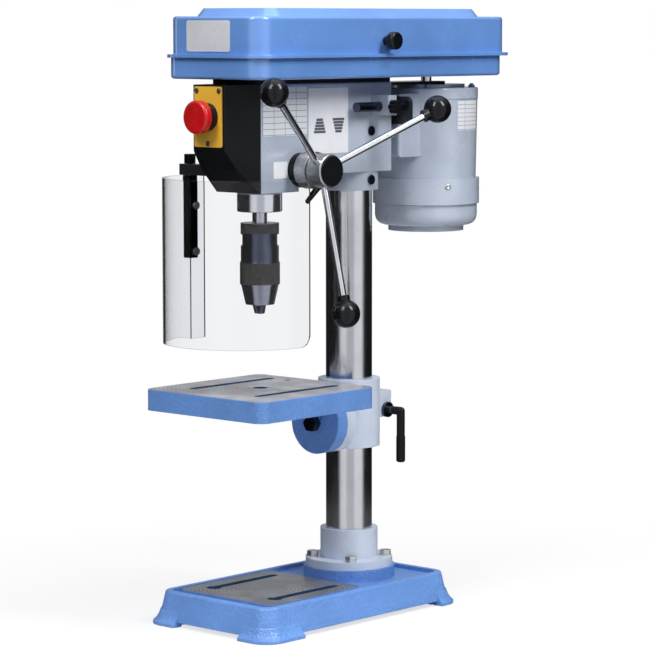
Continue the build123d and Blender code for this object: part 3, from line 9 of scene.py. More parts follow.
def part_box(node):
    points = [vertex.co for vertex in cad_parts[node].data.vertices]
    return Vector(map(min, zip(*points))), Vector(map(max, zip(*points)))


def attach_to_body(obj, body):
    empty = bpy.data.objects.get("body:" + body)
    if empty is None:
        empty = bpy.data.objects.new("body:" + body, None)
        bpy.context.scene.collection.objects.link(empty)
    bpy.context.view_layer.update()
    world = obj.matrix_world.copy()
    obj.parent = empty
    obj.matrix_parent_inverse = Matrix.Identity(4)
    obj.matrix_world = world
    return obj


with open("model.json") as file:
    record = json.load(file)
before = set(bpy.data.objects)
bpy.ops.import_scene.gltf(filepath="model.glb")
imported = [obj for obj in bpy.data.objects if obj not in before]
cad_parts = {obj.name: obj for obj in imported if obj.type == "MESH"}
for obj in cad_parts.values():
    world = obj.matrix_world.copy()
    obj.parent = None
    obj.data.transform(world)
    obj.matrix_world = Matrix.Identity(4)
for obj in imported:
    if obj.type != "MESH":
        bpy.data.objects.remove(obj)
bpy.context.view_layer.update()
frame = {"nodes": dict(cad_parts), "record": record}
nodes = frame["nodes"]

MM = 0.001
UP = (0, 0, 1)
RIGHT = (1, 0, 0)
LEFT = (-1, 0, 0)
FRONT = (0, -1, 0)


def middle(node):
    """Centre of a CAD node at rest."""
    low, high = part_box(node)
    return (Vector(low) + Vector(high)) / 2


COLUMN = middle("column_tube").xy
SPINDLE = middle("chuck_sleeve").xy
MOTOR = middle("motor_housing").xy


def place(x, y, z):
    """Point given in mm from the column axis and the bench."""
    return Vector((COLUMN.x + x * MM, COLUMN.y + y * MM, z * MM))


def by_motor(radius, turn, z):
    """Point given in mm from the motor axis and the bench, at an angle in radians."""
    return Vector((MOTOR.x + radius * MM * math.cos(turn),
                   MOTOR.y + radius * MM * math.sin(turn), z * MM))


# Shader nodes

# Sockets of the Mix node, which has a set of them for each kind of data
MIX_FACTOR = 0
MIX_NUMBERS = (2, 3)
MIX_NUMBER_OUT = 0
MIX_COLOURS = (6, 7)
MIX_COLOUR_OUT = 2

NOISE_ROUGHNESS = 0.55
BEVEL_SAMPLES = 4
FULL_WEAR = 0.5


def attach(tree, value, socket):
    """Link an output to a socket, or set the socket to a constant."""
    if isinstance(value, bpy.types.NodeSocket):
        tree.links.new(value, socket)
    else:
        socket.default_value = value


def join(tree, kind, inputs=None, **settings):
    """New node in a tree, with its settings made and then its inputs linked or set."""
    node = tree.nodes.new(kind)
    for key, value in settings.items():
        setattr(node, key, value)
    for key, value in (inputs or {}).items():
        attach(tree, value, node.inputs[key])
    return node


def calculate(tree, operation, a, b=None):
    """Result of a Math node with one or two inputs."""
    inputs = {0: a} if b is None else {0: a, 1: b}
    return join(tree, "ShaderNodeMath", inputs, operation=operation).outputs[0]


def mix_colours(tree, factor, a, b):
    """Colour between two others."""
    inputs = {MIX_FACTOR: factor, MIX_COLOURS[0]: a, MIX_COLOURS[1]: b}
    return join(tree, "ShaderNodeMix", inputs, data_type="RGBA").outputs[MIX_COLOUR_OUT]


class Graph:
    """Node tree of one material, with short calls for the nodes used here."""

    def __init__(self, name):
        self.material = bpy.data.materials.new(name)
        self.material.use_nodes = True
        self.tree = self.material.node_tree
        self.shader = self.tree.nodes["Principled BSDF"]
        places = self.add("ShaderNodeTexCoord").outputs
        self.coords = places["Object"]
        self.normals = places["Normal"]

    def add(self, kind, inputs=None, **settings):
        return join(self.tree, kind, inputs, **settings)

    def set(self, **values):
        """Link or set inputs of the shader; an underscore stands for a space."""
        for key, value in values.items():
            attach(self.tree, value, self.shader.inputs[key.replace("_", " ")])

    def math(self, operation, a, b=None):
        return calculate(self.tree, operation, a, b)

    def mix(self, factor, a, b):
        return mix_colours(self.tree, factor, a, b)

    def blend(self, factor, a, b):
        """Number between two others."""
        inputs = {MIX_FACTOR: factor, MIX_NUMBERS[0]: a, MIX_NUMBERS[1]: b}
        return self.add("ShaderNodeMix", inputs, data_type="FLOAT").outputs[MIX_NUMBER_OUT]

    def span(self, value, low, high, to_low=0.0, to_high=1.0):
        """Value stretched from one range to another and held at its ends."""
        inputs = {0: value, 1: low, 2: high, 3: to_low, 4: to_high}
        return self.add("ShaderNodeMapRange", inputs, clamp=True).outputs[0]

    def scaled(self, scale, offset=(0, 0, 0)):
        inputs = {"Scale": scale, "Location": offset, "Vector": self.coords}
        return self.add("ShaderNodeMapping", inputs).outputs[0]

    def noise(self, scale, detail=3.0, vector=None):
        inputs = {"Vector": vector or self.coords, "Scale": scale, "Detail": detail,
                  "Roughness": NOISE_ROUGHNESS}
        return self.add("ShaderNodeTexNoise", inputs).outputs["Fac"]

    def drift(self, low, high, scale, detail=3.0, start=0.3, end=0.7):
        """Number that drifts between two values over the surface."""
        return self.span(self.noise(scale, detail), start, end, low, high)

    def cells(self, scale):
        inputs = {"Vector": self.coords, "Scale": scale}
        return self.add("ShaderNodeTexVoronoi", inputs, feature="SMOOTH_F1").outputs["Distance"]

    def axis(self, letter):
        """Place along one axis of the object."""
        return self.add("ShaderNodeSeparateXYZ", {0: self.coords}).outputs[letter]

    def facing(self, letter):
        """Part of the surface normal along one axis of the object."""
        return self.add("ShaderNodeSeparateXYZ", {0: self.normals}).outputs[letter]

    def window(self, letter, low, high, rim):
        """One between two places along an axis, with a soft rim inside both ends."""
        rise = self.span(self.axis(letter), low, low + rim)
        fall = self.span(self.axis(letter), high - rim, high, 1.0, 0.0)
        return self.math("MULTIPLY", rise, fall)

    def rounded(self, radius):
        """Normal with the edges rounded off."""
        return self.add("ShaderNodeBevel", {"Radius": radius}, samples=BEVEL_SAMPLES).outputs[0]

    def edges(self, radius, low, high):
        """Bright along convex and concave edges."""
        flat = self.add("ShaderNodeNewGeometry").outputs["True Normal"]
        dot = self.add("ShaderNodeVectorMath", {0: self.rounded(radius), 1: flat},
                       operation="DOT_PRODUCT").outputs["Value"]
        return self.span(self.math("SUBTRACT", 1.0, dot), low, high)

    def rubbed(self, radius, start, scale, detail, low, high):
        """Worn places along the edges, broken up by a noise."""
        patches = self.span(self.noise(scale, detail), low, high)
        return self.math("MULTIPLY", self.edges(radius, start, FULL_WEAR), patches)

    def bump(self, height, distance, strength, radius):
        """Normal with a relief over rounded edges."""
        inputs = {"Strength": strength, "Distance": distance, "Height": height,
                  "Normal": self.rounded(radius)}
        return self.add("ShaderNodeBump", inputs).outputs[0]


# Finishes

def rgb(red, green, blue):
    return (red, green, blue, 1.0)


def shade(colour, factor):
    """Colour made darker or lighter."""
    return tuple(min(1.0, channel * factor) for channel in colour[:3]) + (1.0,)


BLUE = rgb(0.14, 0.30, 0.68)
GREY = rgb(0.46, 0.52, 0.62)
PALE = rgb(0.62, 0.69, 0.81)
BLACK = rgb(0.005, 0.0055, 0.007)
WHITE = rgb(1.0, 1.0, 1.0)
PAPER = rgb(0.78, 0.80, 0.84)
BLANK = rgb(0.86, 0.87, 0.90)
INK = rgb(0.10, 0.11, 0.14)
PRIMER = rgb(0.34, 0.36, 0.4)
SLOT_SHADE = rgb(0.012, 0.034, 0.09)
IRON_DARK = rgb(0.46, 0.47, 0.51)
IRON_LIGHT = rgb(0.78, 0.79, 0.82)
IRON_GROOVE = rgb(0.26, 0.27, 0.30)
CHUCK_BLUE = rgb(0.08, 0.095, 0.145)
CHUCK_CONE = rgb(0.30, 0.315, 0.37)
KNURL_GROOVE_SHADE = rgb(0.008, 0.007, 0.0065)
KNURL_TIP_DARK = rgb(0.016, 0.015, 0.0145)
KNURL_TIP_LIGHT = rgb(0.21, 0.19, 0.17)
SHEET_CLEAR = rgb(0.885, 0.895, 0.915)
SHEET_EDGE_SHADE = rgb(0.5, 0.53, 0.56)


def dusty(g, colour, spread=0.12, scale=9.0):
    """Colour with soft lighter and darker clouds."""
    cloud = g.drift(0.0, 1.0, scale, detail=4.0)
    return g.mix(cloud, shade(colour, 1 - spread), shade(colour, 1 + spread))


def enamel(name, colour, roughness=0.22, peel=0.00006, edge=0.0012, bare=PRIMER):
    """Sprayed gloss enamel: orange peel, clouds, and thin rubbed edges."""
    g = Graph(name)
    worn = g.rubbed(edge, start=0.10, scale=55.0, detail=5.0, low=0.52, high=0.66)
    g.set(Base_Color=g.mix(g.math("MULTIPLY", worn, 0.55), dusty(g, colour), bare))
    g.set(Roughness=g.drift(roughness - 0.05, roughness + 0.08, scale=26.0, detail=4.0,
                            start=0.25, end=0.75))
    g.set(Coat_Weight=0.9, Coat_Roughness=0.08)
    g.set(Normal=g.bump(g.noise(520.0, detail=2.0), distance=peel, strength=0.6, radius=edge))
    return g.material


def with_wrinkle_shade(g, wrinkle, paint, colour, depth, cavity_shade):
    """Paint with painted shade in the hollows of a wrinkle."""
    return g.mix(g.span(wrinkle, 0.0, 0.8, depth, 0.0), paint, shade(colour, cavity_shade))


def chipped(g, paint, colour, edge):
    """Paint that is lighter along worn edges."""
    worn = g.rubbed(edge, start=0.10, scale=48.0, detail=5.0, low=0.5, high=0.62)
    return g.mix(g.math("MULTIPLY", worn, 0.35), paint, shade(colour, 1.7))


def cast_enamel(name, colour, roughness, grain=0.00012, scale=520.0, edge=0.0016):
    """Enamel over cast iron with a fine wrinkle."""
    g = Graph(name)
    wrinkle = g.cells(scale)
    paint = chipped(g, dusty(g, colour, spread=0.10, scale=14.0), colour, edge)
    # Painted shade in the hollows of the wrinkle
    g.set(Base_Color=with_wrinkle_shade(g, wrinkle, paint, colour, depth=0.35, cavity_shade=0.72))
    g.set(Roughness=g.drift(roughness - 0.06, roughness + 0.08, scale=34.0))
    g.set(Coat_Weight=0.25, Coat_Roughness=0.15)
    g.set(Normal=g.bump(wrinkle, distance=grain, strength=0.7, radius=edge))
    return g.material


def steel(name, colour, roughness, stretch=(1, 1, 1), scale=500.0, marks=0.00002, edge=0.0005):
    """Bare metal with fine tool marks drawn out along one direction."""
    g = Graph(name)
    lines = g.noise(scale, detail=4.0, vector=g.scaled(stretch))
    stain = g.drift(0.0, 1.0, scale=16.0, detail=4.0, start=0.35)
    g.set(Metallic=1.0, Base_Color=g.mix(stain, shade(colour, 0.86), colour))
    g.set(Roughness=g.span(lines, 0.3, 0.7, roughness - 0.05, roughness + 0.09))
    g.set(Normal=g.bump(lines, distance=marks, strength=0.5, radius=edge))
    return g.material


def moulded(name, colour, roughness, grain=0.00001, scale=300.0, edge=0.0008, shine=0.5):
    """Moulded plastic or rubber with a fine grain and rubbed edges."""
    g = Graph(name)
    worn = g.rubbed(edge, start=0.08, scale=70.0, detail=4.0, low=0.45, high=0.65)
    clouds = dusty(g, colour, spread=0.18, scale=22.0)
    tint = g.mix(g.math("MULTIPLY", worn, 0.4), clouds, shade(colour, 2.6))
    g.set(Base_Color=tint, Specular_IOR_Level=shine)
    g.set(Roughness=g.drift(roughness - 0.06, roughness + 0.09, scale=40.0, detail=4.0))
    g.set(Normal=g.bump(g.noise(scale, detail=2.0), distance=grain, strength=0.5, radius=edge))
    return g.material


# Ground tops, in metres: depths below the top at which the ground face starts and is full, and
# its soft rim; the same for the painted shade inside the slots, and how far it stays off the rim
GROUND_FROM = 0.0009
GROUND_FULL = 0.0006
GROUND_RIM = 0.0004
HOLLOW_FROM = 0.012
HOLLOW_FULL = 0.011
HOLLOW_RIM = 0.001
HOLLOW_INSET = 0.016


def half_ground(name, colour, top, x_range, y_range, painted_light_level, edge=0.0016):
    """Cast enamel whose top is ground bare, with turning marks about the spindle axis and painted
    shade inside the slots.
    """
    g = Graph(name)
    ground = g.math("MULTIPLY", g.span(g.axis("Z"), top - GROUND_FROM, top - GROUND_FULL),
                    g.span(g.facing("Z"), 0.7, 0.9))
    slot_shade = g.span(g.axis("Z"), top - HOLLOW_FROM, top - HOLLOW_FULL)
    for letter, (low, high) in (("X", x_range), ("Y", y_range)):
        ground = g.math("MULTIPLY", ground, g.window(letter, low, high, GROUND_RIM))
        inner = g.window(letter, low + HOLLOW_INSET, high - HOLLOW_INSET, HOLLOW_RIM)
        slot_shade = g.math("MULTIPLY", slot_shade, inner)

    wrinkle = g.cells(330.0)
    paint = dusty(g, colour, spread=0.10, scale=14.0)
    # Painted shade in the hollows of the wrinkle
    paint = with_wrinkle_shade(g, wrinkle, paint, colour, depth=0.45, cavity_shade=0.68)
    paint = chipped(g, paint, colour, edge)
    # Painted shade, dark blue, inside the slots
    paint = g.mix(g.math("MULTIPLY", slot_shade, 0.9), paint, SLOT_SHADE)

    from_spindle = g.scaled((1, 1, 1), (-SPINDLE.x, -SPINDLE.y, 0))
    marks = g.add("ShaderNodeTexWave",
                  {"Vector": from_spindle, "Scale": 62.0, "Distortion": 1.2, "Detail": 3.0},
                  wave_type="RINGS", rings_direction="Z", wave_profile="SIN").outputs["Fac"]
    stain = g.drift(0.0, 1.0, scale=24.0, detail=6.0, start=0.42, end=0.68)
    # The bare iron is scaled down for painted shade where the level is below one
    iron = g.mix(stain, shade(IRON_DARK, painted_light_level), shade(IRON_LIGHT, painted_light_level))
    iron = g.mix(g.span(marks, 0.1, 0.9, 0.0, 0.5), iron, shade(IRON_GROOVE, painted_light_level))

    g.set(Base_Color=g.mix(ground, paint, iron), Metallic=g.math("MULTIPLY", ground, 0.5))
    painted = g.drift(0.3, 0.44, scale=34.0)
    g.set(Roughness=g.blend(ground, painted, g.blend(marks, 0.26, 0.42)))
    relief = g.blend(ground, wrinkle, g.math("MULTIPLY", marks, 0.05))
    g.set(Normal=g.bump(relief, distance=0.0011, strength=0.9, radius=edge))
    return g.material


def knurled(name, colour, bands, pitch, cone_top):
    """Blued chuck steel with a diamond knurl between given heights, painted shade in its grooves,
    and a brighter cone below.
    """
    chuck_radius = 25 * MM
    rim = 0.0003
    g = Graph(name)
    x = g.math("SUBTRACT", g.axis("X"), SPINDLE.x)
    y = g.math("SUBTRACT", g.axis("Y"), SPINDLE.y)
    around = g.math("MULTIPLY", g.math("ARCTAN2", y, x), chuck_radius)
    waves = []
    for sign in (-1, 1):
        slant = g.math("ADD", around, g.math("MULTIPLY", g.axis("Z"), sign))
        wave = g.math("SINE", g.math("MULTIPLY", slant, math.pi / pitch))
        waves.append(g.math("ABSOLUTE", wave))
    diamond = g.math("MINIMUM", *waves)
    inside = 0.0
    for low, high in bands:
        inside = g.math("ADD", inside, g.window("Z", low, high, rim))
    upright = g.span(g.math("ABSOLUTE", g.facing("Z")), 0.2, 0.5, 1.0, 0.0)
    inside = g.math("MULTIPLY", inside, upright)

    cone = g.span(g.axis("Z"), cone_top - 2 * rim, cone_top, 1.0, 0.0)
    smooth = g.mix(cone, dusty(g, colour, spread=0.2, scale=40.0), CHUCK_CONE)
    tips = g.math("MULTIPLY", inside, g.span(diamond, 0.45, 0.9))
    tip_tint = g.mix(g.drift(0.0, 1.0, scale=420.0, start=0.35, end=0.65),
                     KNURL_TIP_DARK, KNURL_TIP_LIGHT)
    # Painted shade, near black, in the grooves of the knurl
    g.set(Base_Color=g.mix(tips, g.mix(inside, smooth, KNURL_GROOVE_SHADE), tip_tint))
    g.set(Metallic=g.blend(inside, 1.0, 0.4))
    g.set(Roughness=g.blend(inside, g.drift(0.09, 0.16, scale=60.0, detail=4.0), 0.45))
    cut = g.math("MULTIPLY", inside, diamond)
    g.set(Normal=g.bump(cut, distance=0.0006, strength=0.9, radius=0.0006))
    return g.material


def clear_sheet(name):
    """Clear polycarbonate with faint scuffs and painted shade along its cut edges."""
    g = Graph(name)
    scuffs = g.span(g.noise(900.0, vector=g.scaled((1, 1, 0.08))), 0.62, 0.75)
    haze = g.math("MULTIPLY", scuffs, g.drift(0.0, 1.0, scale=18.0, start=0.5))
    # Painted shade along the edges of the sheet
    g.set(Base_Color=g.mix(g.edges(radius=0.0015, low=0.1, high=0.6), SHEET_CLEAR, SHEET_EDGE_SHADE))
    g.set(Roughness=g.span(haze, 0.0, 1.0, 0.03, 0.22), Transmission_Weight=1.0, IOR=1.25)
    return g.material


def printed(g, mask, colour):
    """Coated plate with ink where the mask is one."""
    g.set(Base_Color=g.mix(mask, dusty(g, colour, spread=0.03, scale=30.0), INK))
    g.set(Roughness=g.drift(0.28, 0.4, scale=50.0), Coat_Weight=0.3, Coat_Roughness=0.1)
    return g.material


def ruled(name, origin, steps, line):
    """Blank printed table: thin lines at even steps along Y and Z."""
    g = Graph(name)
    mask = 0.0
    for letter, start, step in zip("YZ", origin, steps):
        along = g.math("SUBTRACT", g.axis(letter), start)
        phase = g.math("FRACT", g.math("DIVIDE", along, step))
        mask = g.math("MAXIMUM", mask, g.math("LESS_THAN", phase, line / step))
    return printed(g, g.math("MULTIPLY", mask, 0.8), PAPER)


def stepped(name, top, rows, pitch, bar, stacks):
    """Plate that faces +X with plain stacked bars, as on a picture of two stepped pulleys."""
    g = Graph(name)
    down = g.math("DIVIDE", g.math("SUBTRACT", top, g.axis("Z")), pitch)
    row = g.math("FLOOR", down)
    inked = g.math("LESS_THAN", g.math("FRACT", down), bar / pitch)
    inked = g.math("MULTIPLY", inked, g.math("GREATER_THAN", down, 0.0))
    inked = g.math("MULTIPLY", inked, g.math("LESS_THAN", down, rows))
    stack = 0.0
    for centre, half, growth in stacks:
        reach = g.math("ADD", g.math("MULTIPLY", row, growth), half)
        aside = g.math("ABSOLUTE", g.math("SUBTRACT", g.axis("Y"), centre))
        stack = g.math("MAXIMUM", stack, g.math("LESS_THAN", aside, reach))
    return printed(g, g.math("MULTIPLY", inked, stack), BLANK)


# The ground pad of the base, in mm from the column axis, and the whole top of the table
PAD_TOP = 42
PAD_HALF = 80
PAD_FRONT = -233
PAD_BACK = -66
table_low, table_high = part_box("table")
table_half = (table_high[0] - table_low[0]) / 2


def across(half):
    """Range in X to both sides of the column axis."""
    return COLUMN.x - half, COLUMN.x + half


finishes = {
    "blue_gloss": enamel("blue_gloss", BLUE),
    "grey_cast": cast_enamel("grey_cast", GREY, roughness=0.34),
    "light_grey": cast_enamel("light_grey", PALE, roughness=0.32),
    "motor_grey": enamel("motor_grey", GREY, roughness=0.28),
    "polished_steel": steel("polished_steel", rgb(0.62, 0.63, 0.66), roughness=0.15,
                            stretch=(1, 1, 0.03), scale=700.0),
    "chrome": steel("chrome", rgb(0.82, 0.83, 0.86), roughness=0.08, scale=300.0, marks=0.00001),
    "black_steel": steel("black_steel", rgb(0.07, 0.085, 0.115), roughness=0.22,
                         stretch=(1, 1, 6), scale=600.0),
    "black_paint": enamel("black_paint", rgb(0.012, 0.013, 0.017), roughness=0.34),
    "black_plastic": moulded("black_plastic", BLACK, roughness=0.4, grain=0.00004, scale=1600.0,
                             shine=0.16),
    "black_gloss": moulded("black_gloss", BLACK, roughness=0.16, shine=0.26),
    "yellow_plate": enamel("yellow_plate", rgb(0.95, 0.52, 0.05), roughness=0.3, peel=0.00003,
                           edge=0.0005, bare=rgb(0.6, 0.5, 0.3)),
    "red_button": moulded("red_button", rgb(0.55, 0.006, 0.008), roughness=0.24),
    "rubber": moulded("rubber", BLACK, roughness=0.62, grain=0.00008, scale=900.0, shine=0.15),
    "alloy": steel("alloy", rgb(0.66, 0.67, 0.69), roughness=0.24, stretch=(1, 1, 8)),
    "clear": clear_sheet("clear"),
    "zinc": steel("zinc", rgb(0.56, 0.56, 0.53), roughness=0.3, scale=260.0),
    "spring_steel": steel("spring_steel", rgb(0.30, 0.31, 0.36), roughness=0.28,
                          stretch=(1, 8, 1), scale=400.0),
    # The base pad's bare iron is set darker than the table top's, as painted shade
    "blue_wrinkle": half_ground("blue_wrinkle", BLUE, PAD_TOP * MM, across(PAD_HALF * MM),
                                (COLUMN.y + PAD_FRONT * MM, COLUMN.y + PAD_BACK * MM), painted_light_level=0.4),
    "machined_iron": half_ground("machined_iron", BLUE, table_high[2], across(table_half),
                                 (table_low[1], 2 * SPINDLE.y - table_low[1]), painted_light_level=1.0),
}

# Knurled bands of the chuck: up from the foot of the sleeve, and down from the top of the body
SLEEVE_BAND = (25.8, 52.4)
COLLAR_BAND = (12.5, 1)
KNURL_PITCH = 2.4
sleeve_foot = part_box("chuck_sleeve")[0][2]
body_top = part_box("chuck_body")[1][2]
sleeve_band = tuple(sleeve_foot + up * MM for up in SLEEVE_BAND)
collar_band = tuple(body_top - down * MM for down in COLLAR_BAND)
chuck_skin = knurled("chuck_knurl", CHUCK_BLUE, bands=(sleeve_band, collar_band),
                     pitch=KNURL_PITCH * MM, cone_top=sleeve_band[0])
satin = steel("satin_steel", rgb(0.50, 0.50, 0.51), roughness=0.32, stretch=(8, 1, 1))

# Nodes whose finish differs from that of their slot
own_skin = {
    "chuck_sleeve": chuck_skin,
    "chuck_body": chuck_skin,
    "tilt_bolt": finishes["black_steel"],
    "table_clamp_screw": finishes["black_steel"],
    "feed_hub": satin,
    "depth_ring": satin,
}
slot_of = {part["node"]: part["material_slot"] for part in frame["record"]["subparts"]}
for node, thing in nodes.items():
    skin = own_skin.get(node) or finishes[slot_of[node]]
    thing.data.materials.clear()
    thing.data.materials.append(skin)


# Small pieces that are made here and not in the CAD

def piece(name, mesh, body, skin, bevel=0.0, smooth=True):
    """Object from a bmesh, riding on a body."""
    data = bpy.data.meshes.new(name)
    bmesh.ops.recalc_face_normals(mesh, faces=mesh.faces)
    mesh.to_mesh(data)
    mesh.free()
    thing = bpy.data.objects.new(name, data)
    bpy.context.collection.objects.link(thing)
    data.materials.append(skin)
    if smooth:
        data.shade_smooth()
    if bevel:
        modifier = thing.modifiers.new("soft_edges", "BEVEL")
        modifier.width = bevel
        modifier.segments = 2
        modifier.limit_method = "ANGLE"
        modifier.harden_normals = True
    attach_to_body(thing, body)


def frame_along(origin, outward, up):
    """Matrix whose Z is outward and whose Y is as near to up as it can be."""
    z = Vector(outward).normalized()
    x = Vector(up).cross(z).normalized()
    return Matrix.Translation(origin) @ Matrix((x, z.cross(x), z)).transposed().to_4x4()


def bridge(mesh, near, far, closed=True):
    """Faces between two rows of vertices of the same length."""
    count = len(near)
    for index in range(count if closed else count - 1):
        after = (index + 1) % count
        mesh.faces.new((near[index], near[after], far[after], far[index]))


def loft(mesh, rings):
    """Closed skin over a row of rings, with both ends capped."""
    for near, far in zip(rings, rings[1:]):
        bridge(mesh, near, far)
    mesh.faces.new(rings[0])
    mesh.faces.new(rings[-1])
    return mesh


LATHE_STEPS = 36
SIXTH = math.pi / 3


def lathe(profile, where, hexagonal):
    """Mesh turned about the Z of a matrix; rings named in hexagonal become hexagons."""
    mesh = bmesh.new()
    rings = []
    for index, (radius, height) in enumerate(profile):
        ring = []
        for step in range(LATHE_STEPS):
            angle = 2 * math.pi * step / LATHE_STEPS
            flat = math.cos(SIXTH / 2) / math.cos(angle % SIXTH - SIXTH / 2)
            size = radius * (flat if index in hexagonal else 1.0)
            point = Vector((size * math.cos(angle), size * math.sin(angle), height))
            ring.append(mesh.verts.new(where @ point))
        rings.append(ring)
    return loft(mesh, rings)


# Profile of a socket screw's head, in parts of its radius and height; the last two are the socket
SCREW_PROFILE = ((1, 0), (1, 0.35), (0.92, 0.7), (0.72, 0.95), (0.56, 1), (0.5, 1), (0.48, 0.35))
SOCKET_RINGS = (5, 6)
SCREW_UP = (0.1, 0.2, 0.97)


def socket_screw(name, origin, outward, radius, height, body, slot="black_steel"):
    """Domed screw head with a hexagonal socket, its radius and height in mm."""
    profile = [(out * radius * MM, up * height * MM) for out, up in SCREW_PROFILE]
    mesh = lathe(profile, frame_along(origin, outward, SCREW_UP), SOCKET_RINGS)
    piece(name, mesh, body, finishes[slot])


CORNER_STEPS = 6
CORNER_SIGNS = ((1, 1), (-1, 1), (-1, -1), (1, -1))


def rounded_plate(name, origin, outward, size, thick, corner, body, skin, bevel=0.0002):
    """Thin plate with rounded corners, standing on an upright face; its sizes are in mm."""
    where = frame_along(origin, outward, UP)
    width, height = (side * MM for side in size)
    radius = corner * MM
    rim = []
    for turn, (across_sign, up_sign) in enumerate(CORNER_SIGNS):
        centre = Vector(((width / 2 - radius) * across_sign, (height / 2 - radius) * up_sign, 0))
        for step in range(CORNER_STEPS + 1):
            angle = math.pi / 2 * (turn + step / CORNER_STEPS)
            rim.append(centre + Vector((radius * math.cos(angle), radius * math.sin(angle), 0)))
    mesh = bmesh.new()
    rings = [[mesh.verts.new(where @ (point + Vector((0, 0, z)))) for point in rim]
             for z in (0, thick * MM)]
    piece(name, loft(mesh, rings), body, skin, bevel, smooth=False)


WRAP_STEPS = 16


def wrapped_plate(name, radii, turns, heights, thick, body, skin):
    """Thin plate bent round the motor, whose radius changes with the height."""
    start, end = turns
    mesh = bmesh.new()
    grid = []
    for out in (0, thick):
        for radius, z in zip(radii, heights):
            angles = [math.radians(start + (end - start) * step / WRAP_STEPS)
                      for step in range(WRAP_STEPS + 1)]
            grid.append([mesh.verts.new(by_motor(radius + out, angle, z)) for angle in angles])
    inner_low, inner_high, outer_low, outer_high = grid
    for near, far in ((inner_low, inner_high), (outer_low, outer_high),
                      (inner_low, outer_low), (inner_high, outer_high)):
        bridge(mesh, near, far, closed=False)
    for step in (0, WRAP_STEPS):
        mesh.faces.new([row[step] for row in (inner_low, inner_high, outer_high, outer_low)])
    piece(name, mesh, body, skin, smooth=False)


# Spread feet of the base: out from the low edge of its skirt, and height
FOOT_PROFILE = ((-1, 0.2), (6.5, 0.2), (6.5, 4.0), (3.8, 6.2), (1.3, 9.0), (-0.7, 12.5),
                (-2.2, 16.5), (-3.9, 20.0))
FOOT_CORNER = 22
FOOT_ALONG_X = 46
FOOT_ALONG_FRONT = 61.6
FOOT_ALONG_BACK = 34
FOOT_SOFT_EDGE = 1.2
FOOT_STEPS = 12


def foot_flare(name, side, end):
    """Spread foot round one corner of the base, swept along the low edge of its skirt."""
    low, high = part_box("base")
    corner = FOOT_CORNER * MM
    along_y = (FOOT_ALONG_FRONT if end < 0 else FOOT_ALONG_BACK) * MM
    edge = Vector((high[0] if side > 0 else low[0], high[1] if end > 0 else low[1]))
    centre = edge - Vector((side, end)) * corner
    path = [(Vector((edge.x - side * FOOT_ALONG_X * MM, edge.y)), Vector((0, end)))]
    for step in range(FOOT_STEPS + 1):
        turn = math.pi / 2 * step / FOOT_STEPS
        outward = Vector((side * math.sin(turn), end * math.cos(turn)))
        path.append((centre + outward * corner, outward))
    path.append((Vector((edge.x, edge.y - end * along_y)), Vector((side, 0))))
    mesh = bmesh.new()
    rings = [[mesh.verts.new((*(spot + outward * (out * MM)), z * MM)) for out, z in FOOT_PROFILE]
             for spot, outward in path]
    piece(name, loft(mesh, rings), "frame", finishes["blue_wrinkle"],
          FOOT_SOFT_EDGE * MM, smooth=False)


for index, (side, end) in enumerate(((-1, -1), (1, -1), (1, 1), (-1, 1))):
    foot_flare(f"foot_flare_{index + 1}", side, end)

# Screws: places in mm from the column axis and the bench
PLATE_SCREWS = ((-19, 672), (19, 672), (0, 607.5))
ARM_SCREW_X = -44
ARM_SCREWS_Y = (-198.8, -170.2)
ARM_SCREW_Z = 570
plate_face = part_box("switch_plate")[0][1]
for index, (x, z) in enumerate(PLATE_SCREWS):
    socket_screw(f"plate_screw_{index + 1}", (COLUMN.x + x * MM, plate_face, z * MM), FRONT,
                 radius=3.2, height=2.0, body="frame")
for index, y in enumerate(ARM_SCREWS_Y):
    socket_screw(f"guard_arm_screw_{index + 1}", place(ARM_SCREW_X, y, ARM_SCREW_Z), LEFT,
                 radius=3.4, height=3.2, body="frame")

BAND_RADIUS = 70.4
BAND_SCREW_TURN = math.radians(-25.6)
BAND_SCREW_Z = 540.9
socket_screw("motor_band_screw", by_motor(BAND_RADIUS, BAND_SCREW_TURN, BAND_SCREW_Z),
             (math.cos(BAND_SCREW_TURN), math.sin(BAND_SCREW_TURN), 0),
             radius=4.0, height=1.8, body="motor", slot="zinc")

# Blank plates on the right face of the head: Y and Z of the middle, size, corner and look
SPEED_LINES_FROM = (COLUMN.y - 201 * MM, 616 * MM)
SPEED_LINES_STEP = (20 * MM, 7.4 * MM)
STACK_GROWTH = 1.2 * MM
STACKS = ((COLUMN.y - 97.5 * MM, 6 * MM, STACK_GROWTH),
          (COLUMN.y - 62.5 * MM, 10.8 * MM, -STACK_GROWTH))
LABEL_THICK = 0.3
speed_look = ruled("ruled_plate", SPEED_LINES_FROM, SPEED_LINES_STEP, line=0.7 * MM)
blank_look = enamel("blank_plate", BLANK, roughness=0.3, peel=0.00001, edge=0.0004)
step_look = stepped("stepped_plate", top=635 * MM, rows=5.0, pitch=3.8 * MM, bar=3.2 * MM,
                    stacks=STACKS)
head_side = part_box("feed_flange")[0][0]
for name, y, z, size, corner, look in (
        ("speed_plate", -161, 645, (80, 60), 2, speed_look),
        ("side_plate", -81, 632, (74, 82), 2, step_look),
        ("nose_plate", -169, 573, (25, 21), 1.5, blank_look)):
    rounded_plate(name, Vector((head_side, COLUMN.y + y * MM, z * MM)), RIGHT, size, LABEL_THICK,
                  corner, "frame", look)

# Blank badge on the front of the lid
BADGE_PLACE = (-4, -252, 738)
badge_look = enamel("badge_plate", rgb(0.70, 0.71, 0.74), roughness=0.26, peel=0.00001,
                    edge=0.0004)
rounded_plate("badge_blank", place(*BADGE_PLACE), FRONT, (74, 38), thick=0.8, corner=3,
              body="lid", skin=badge_look, bevel=0.0003)

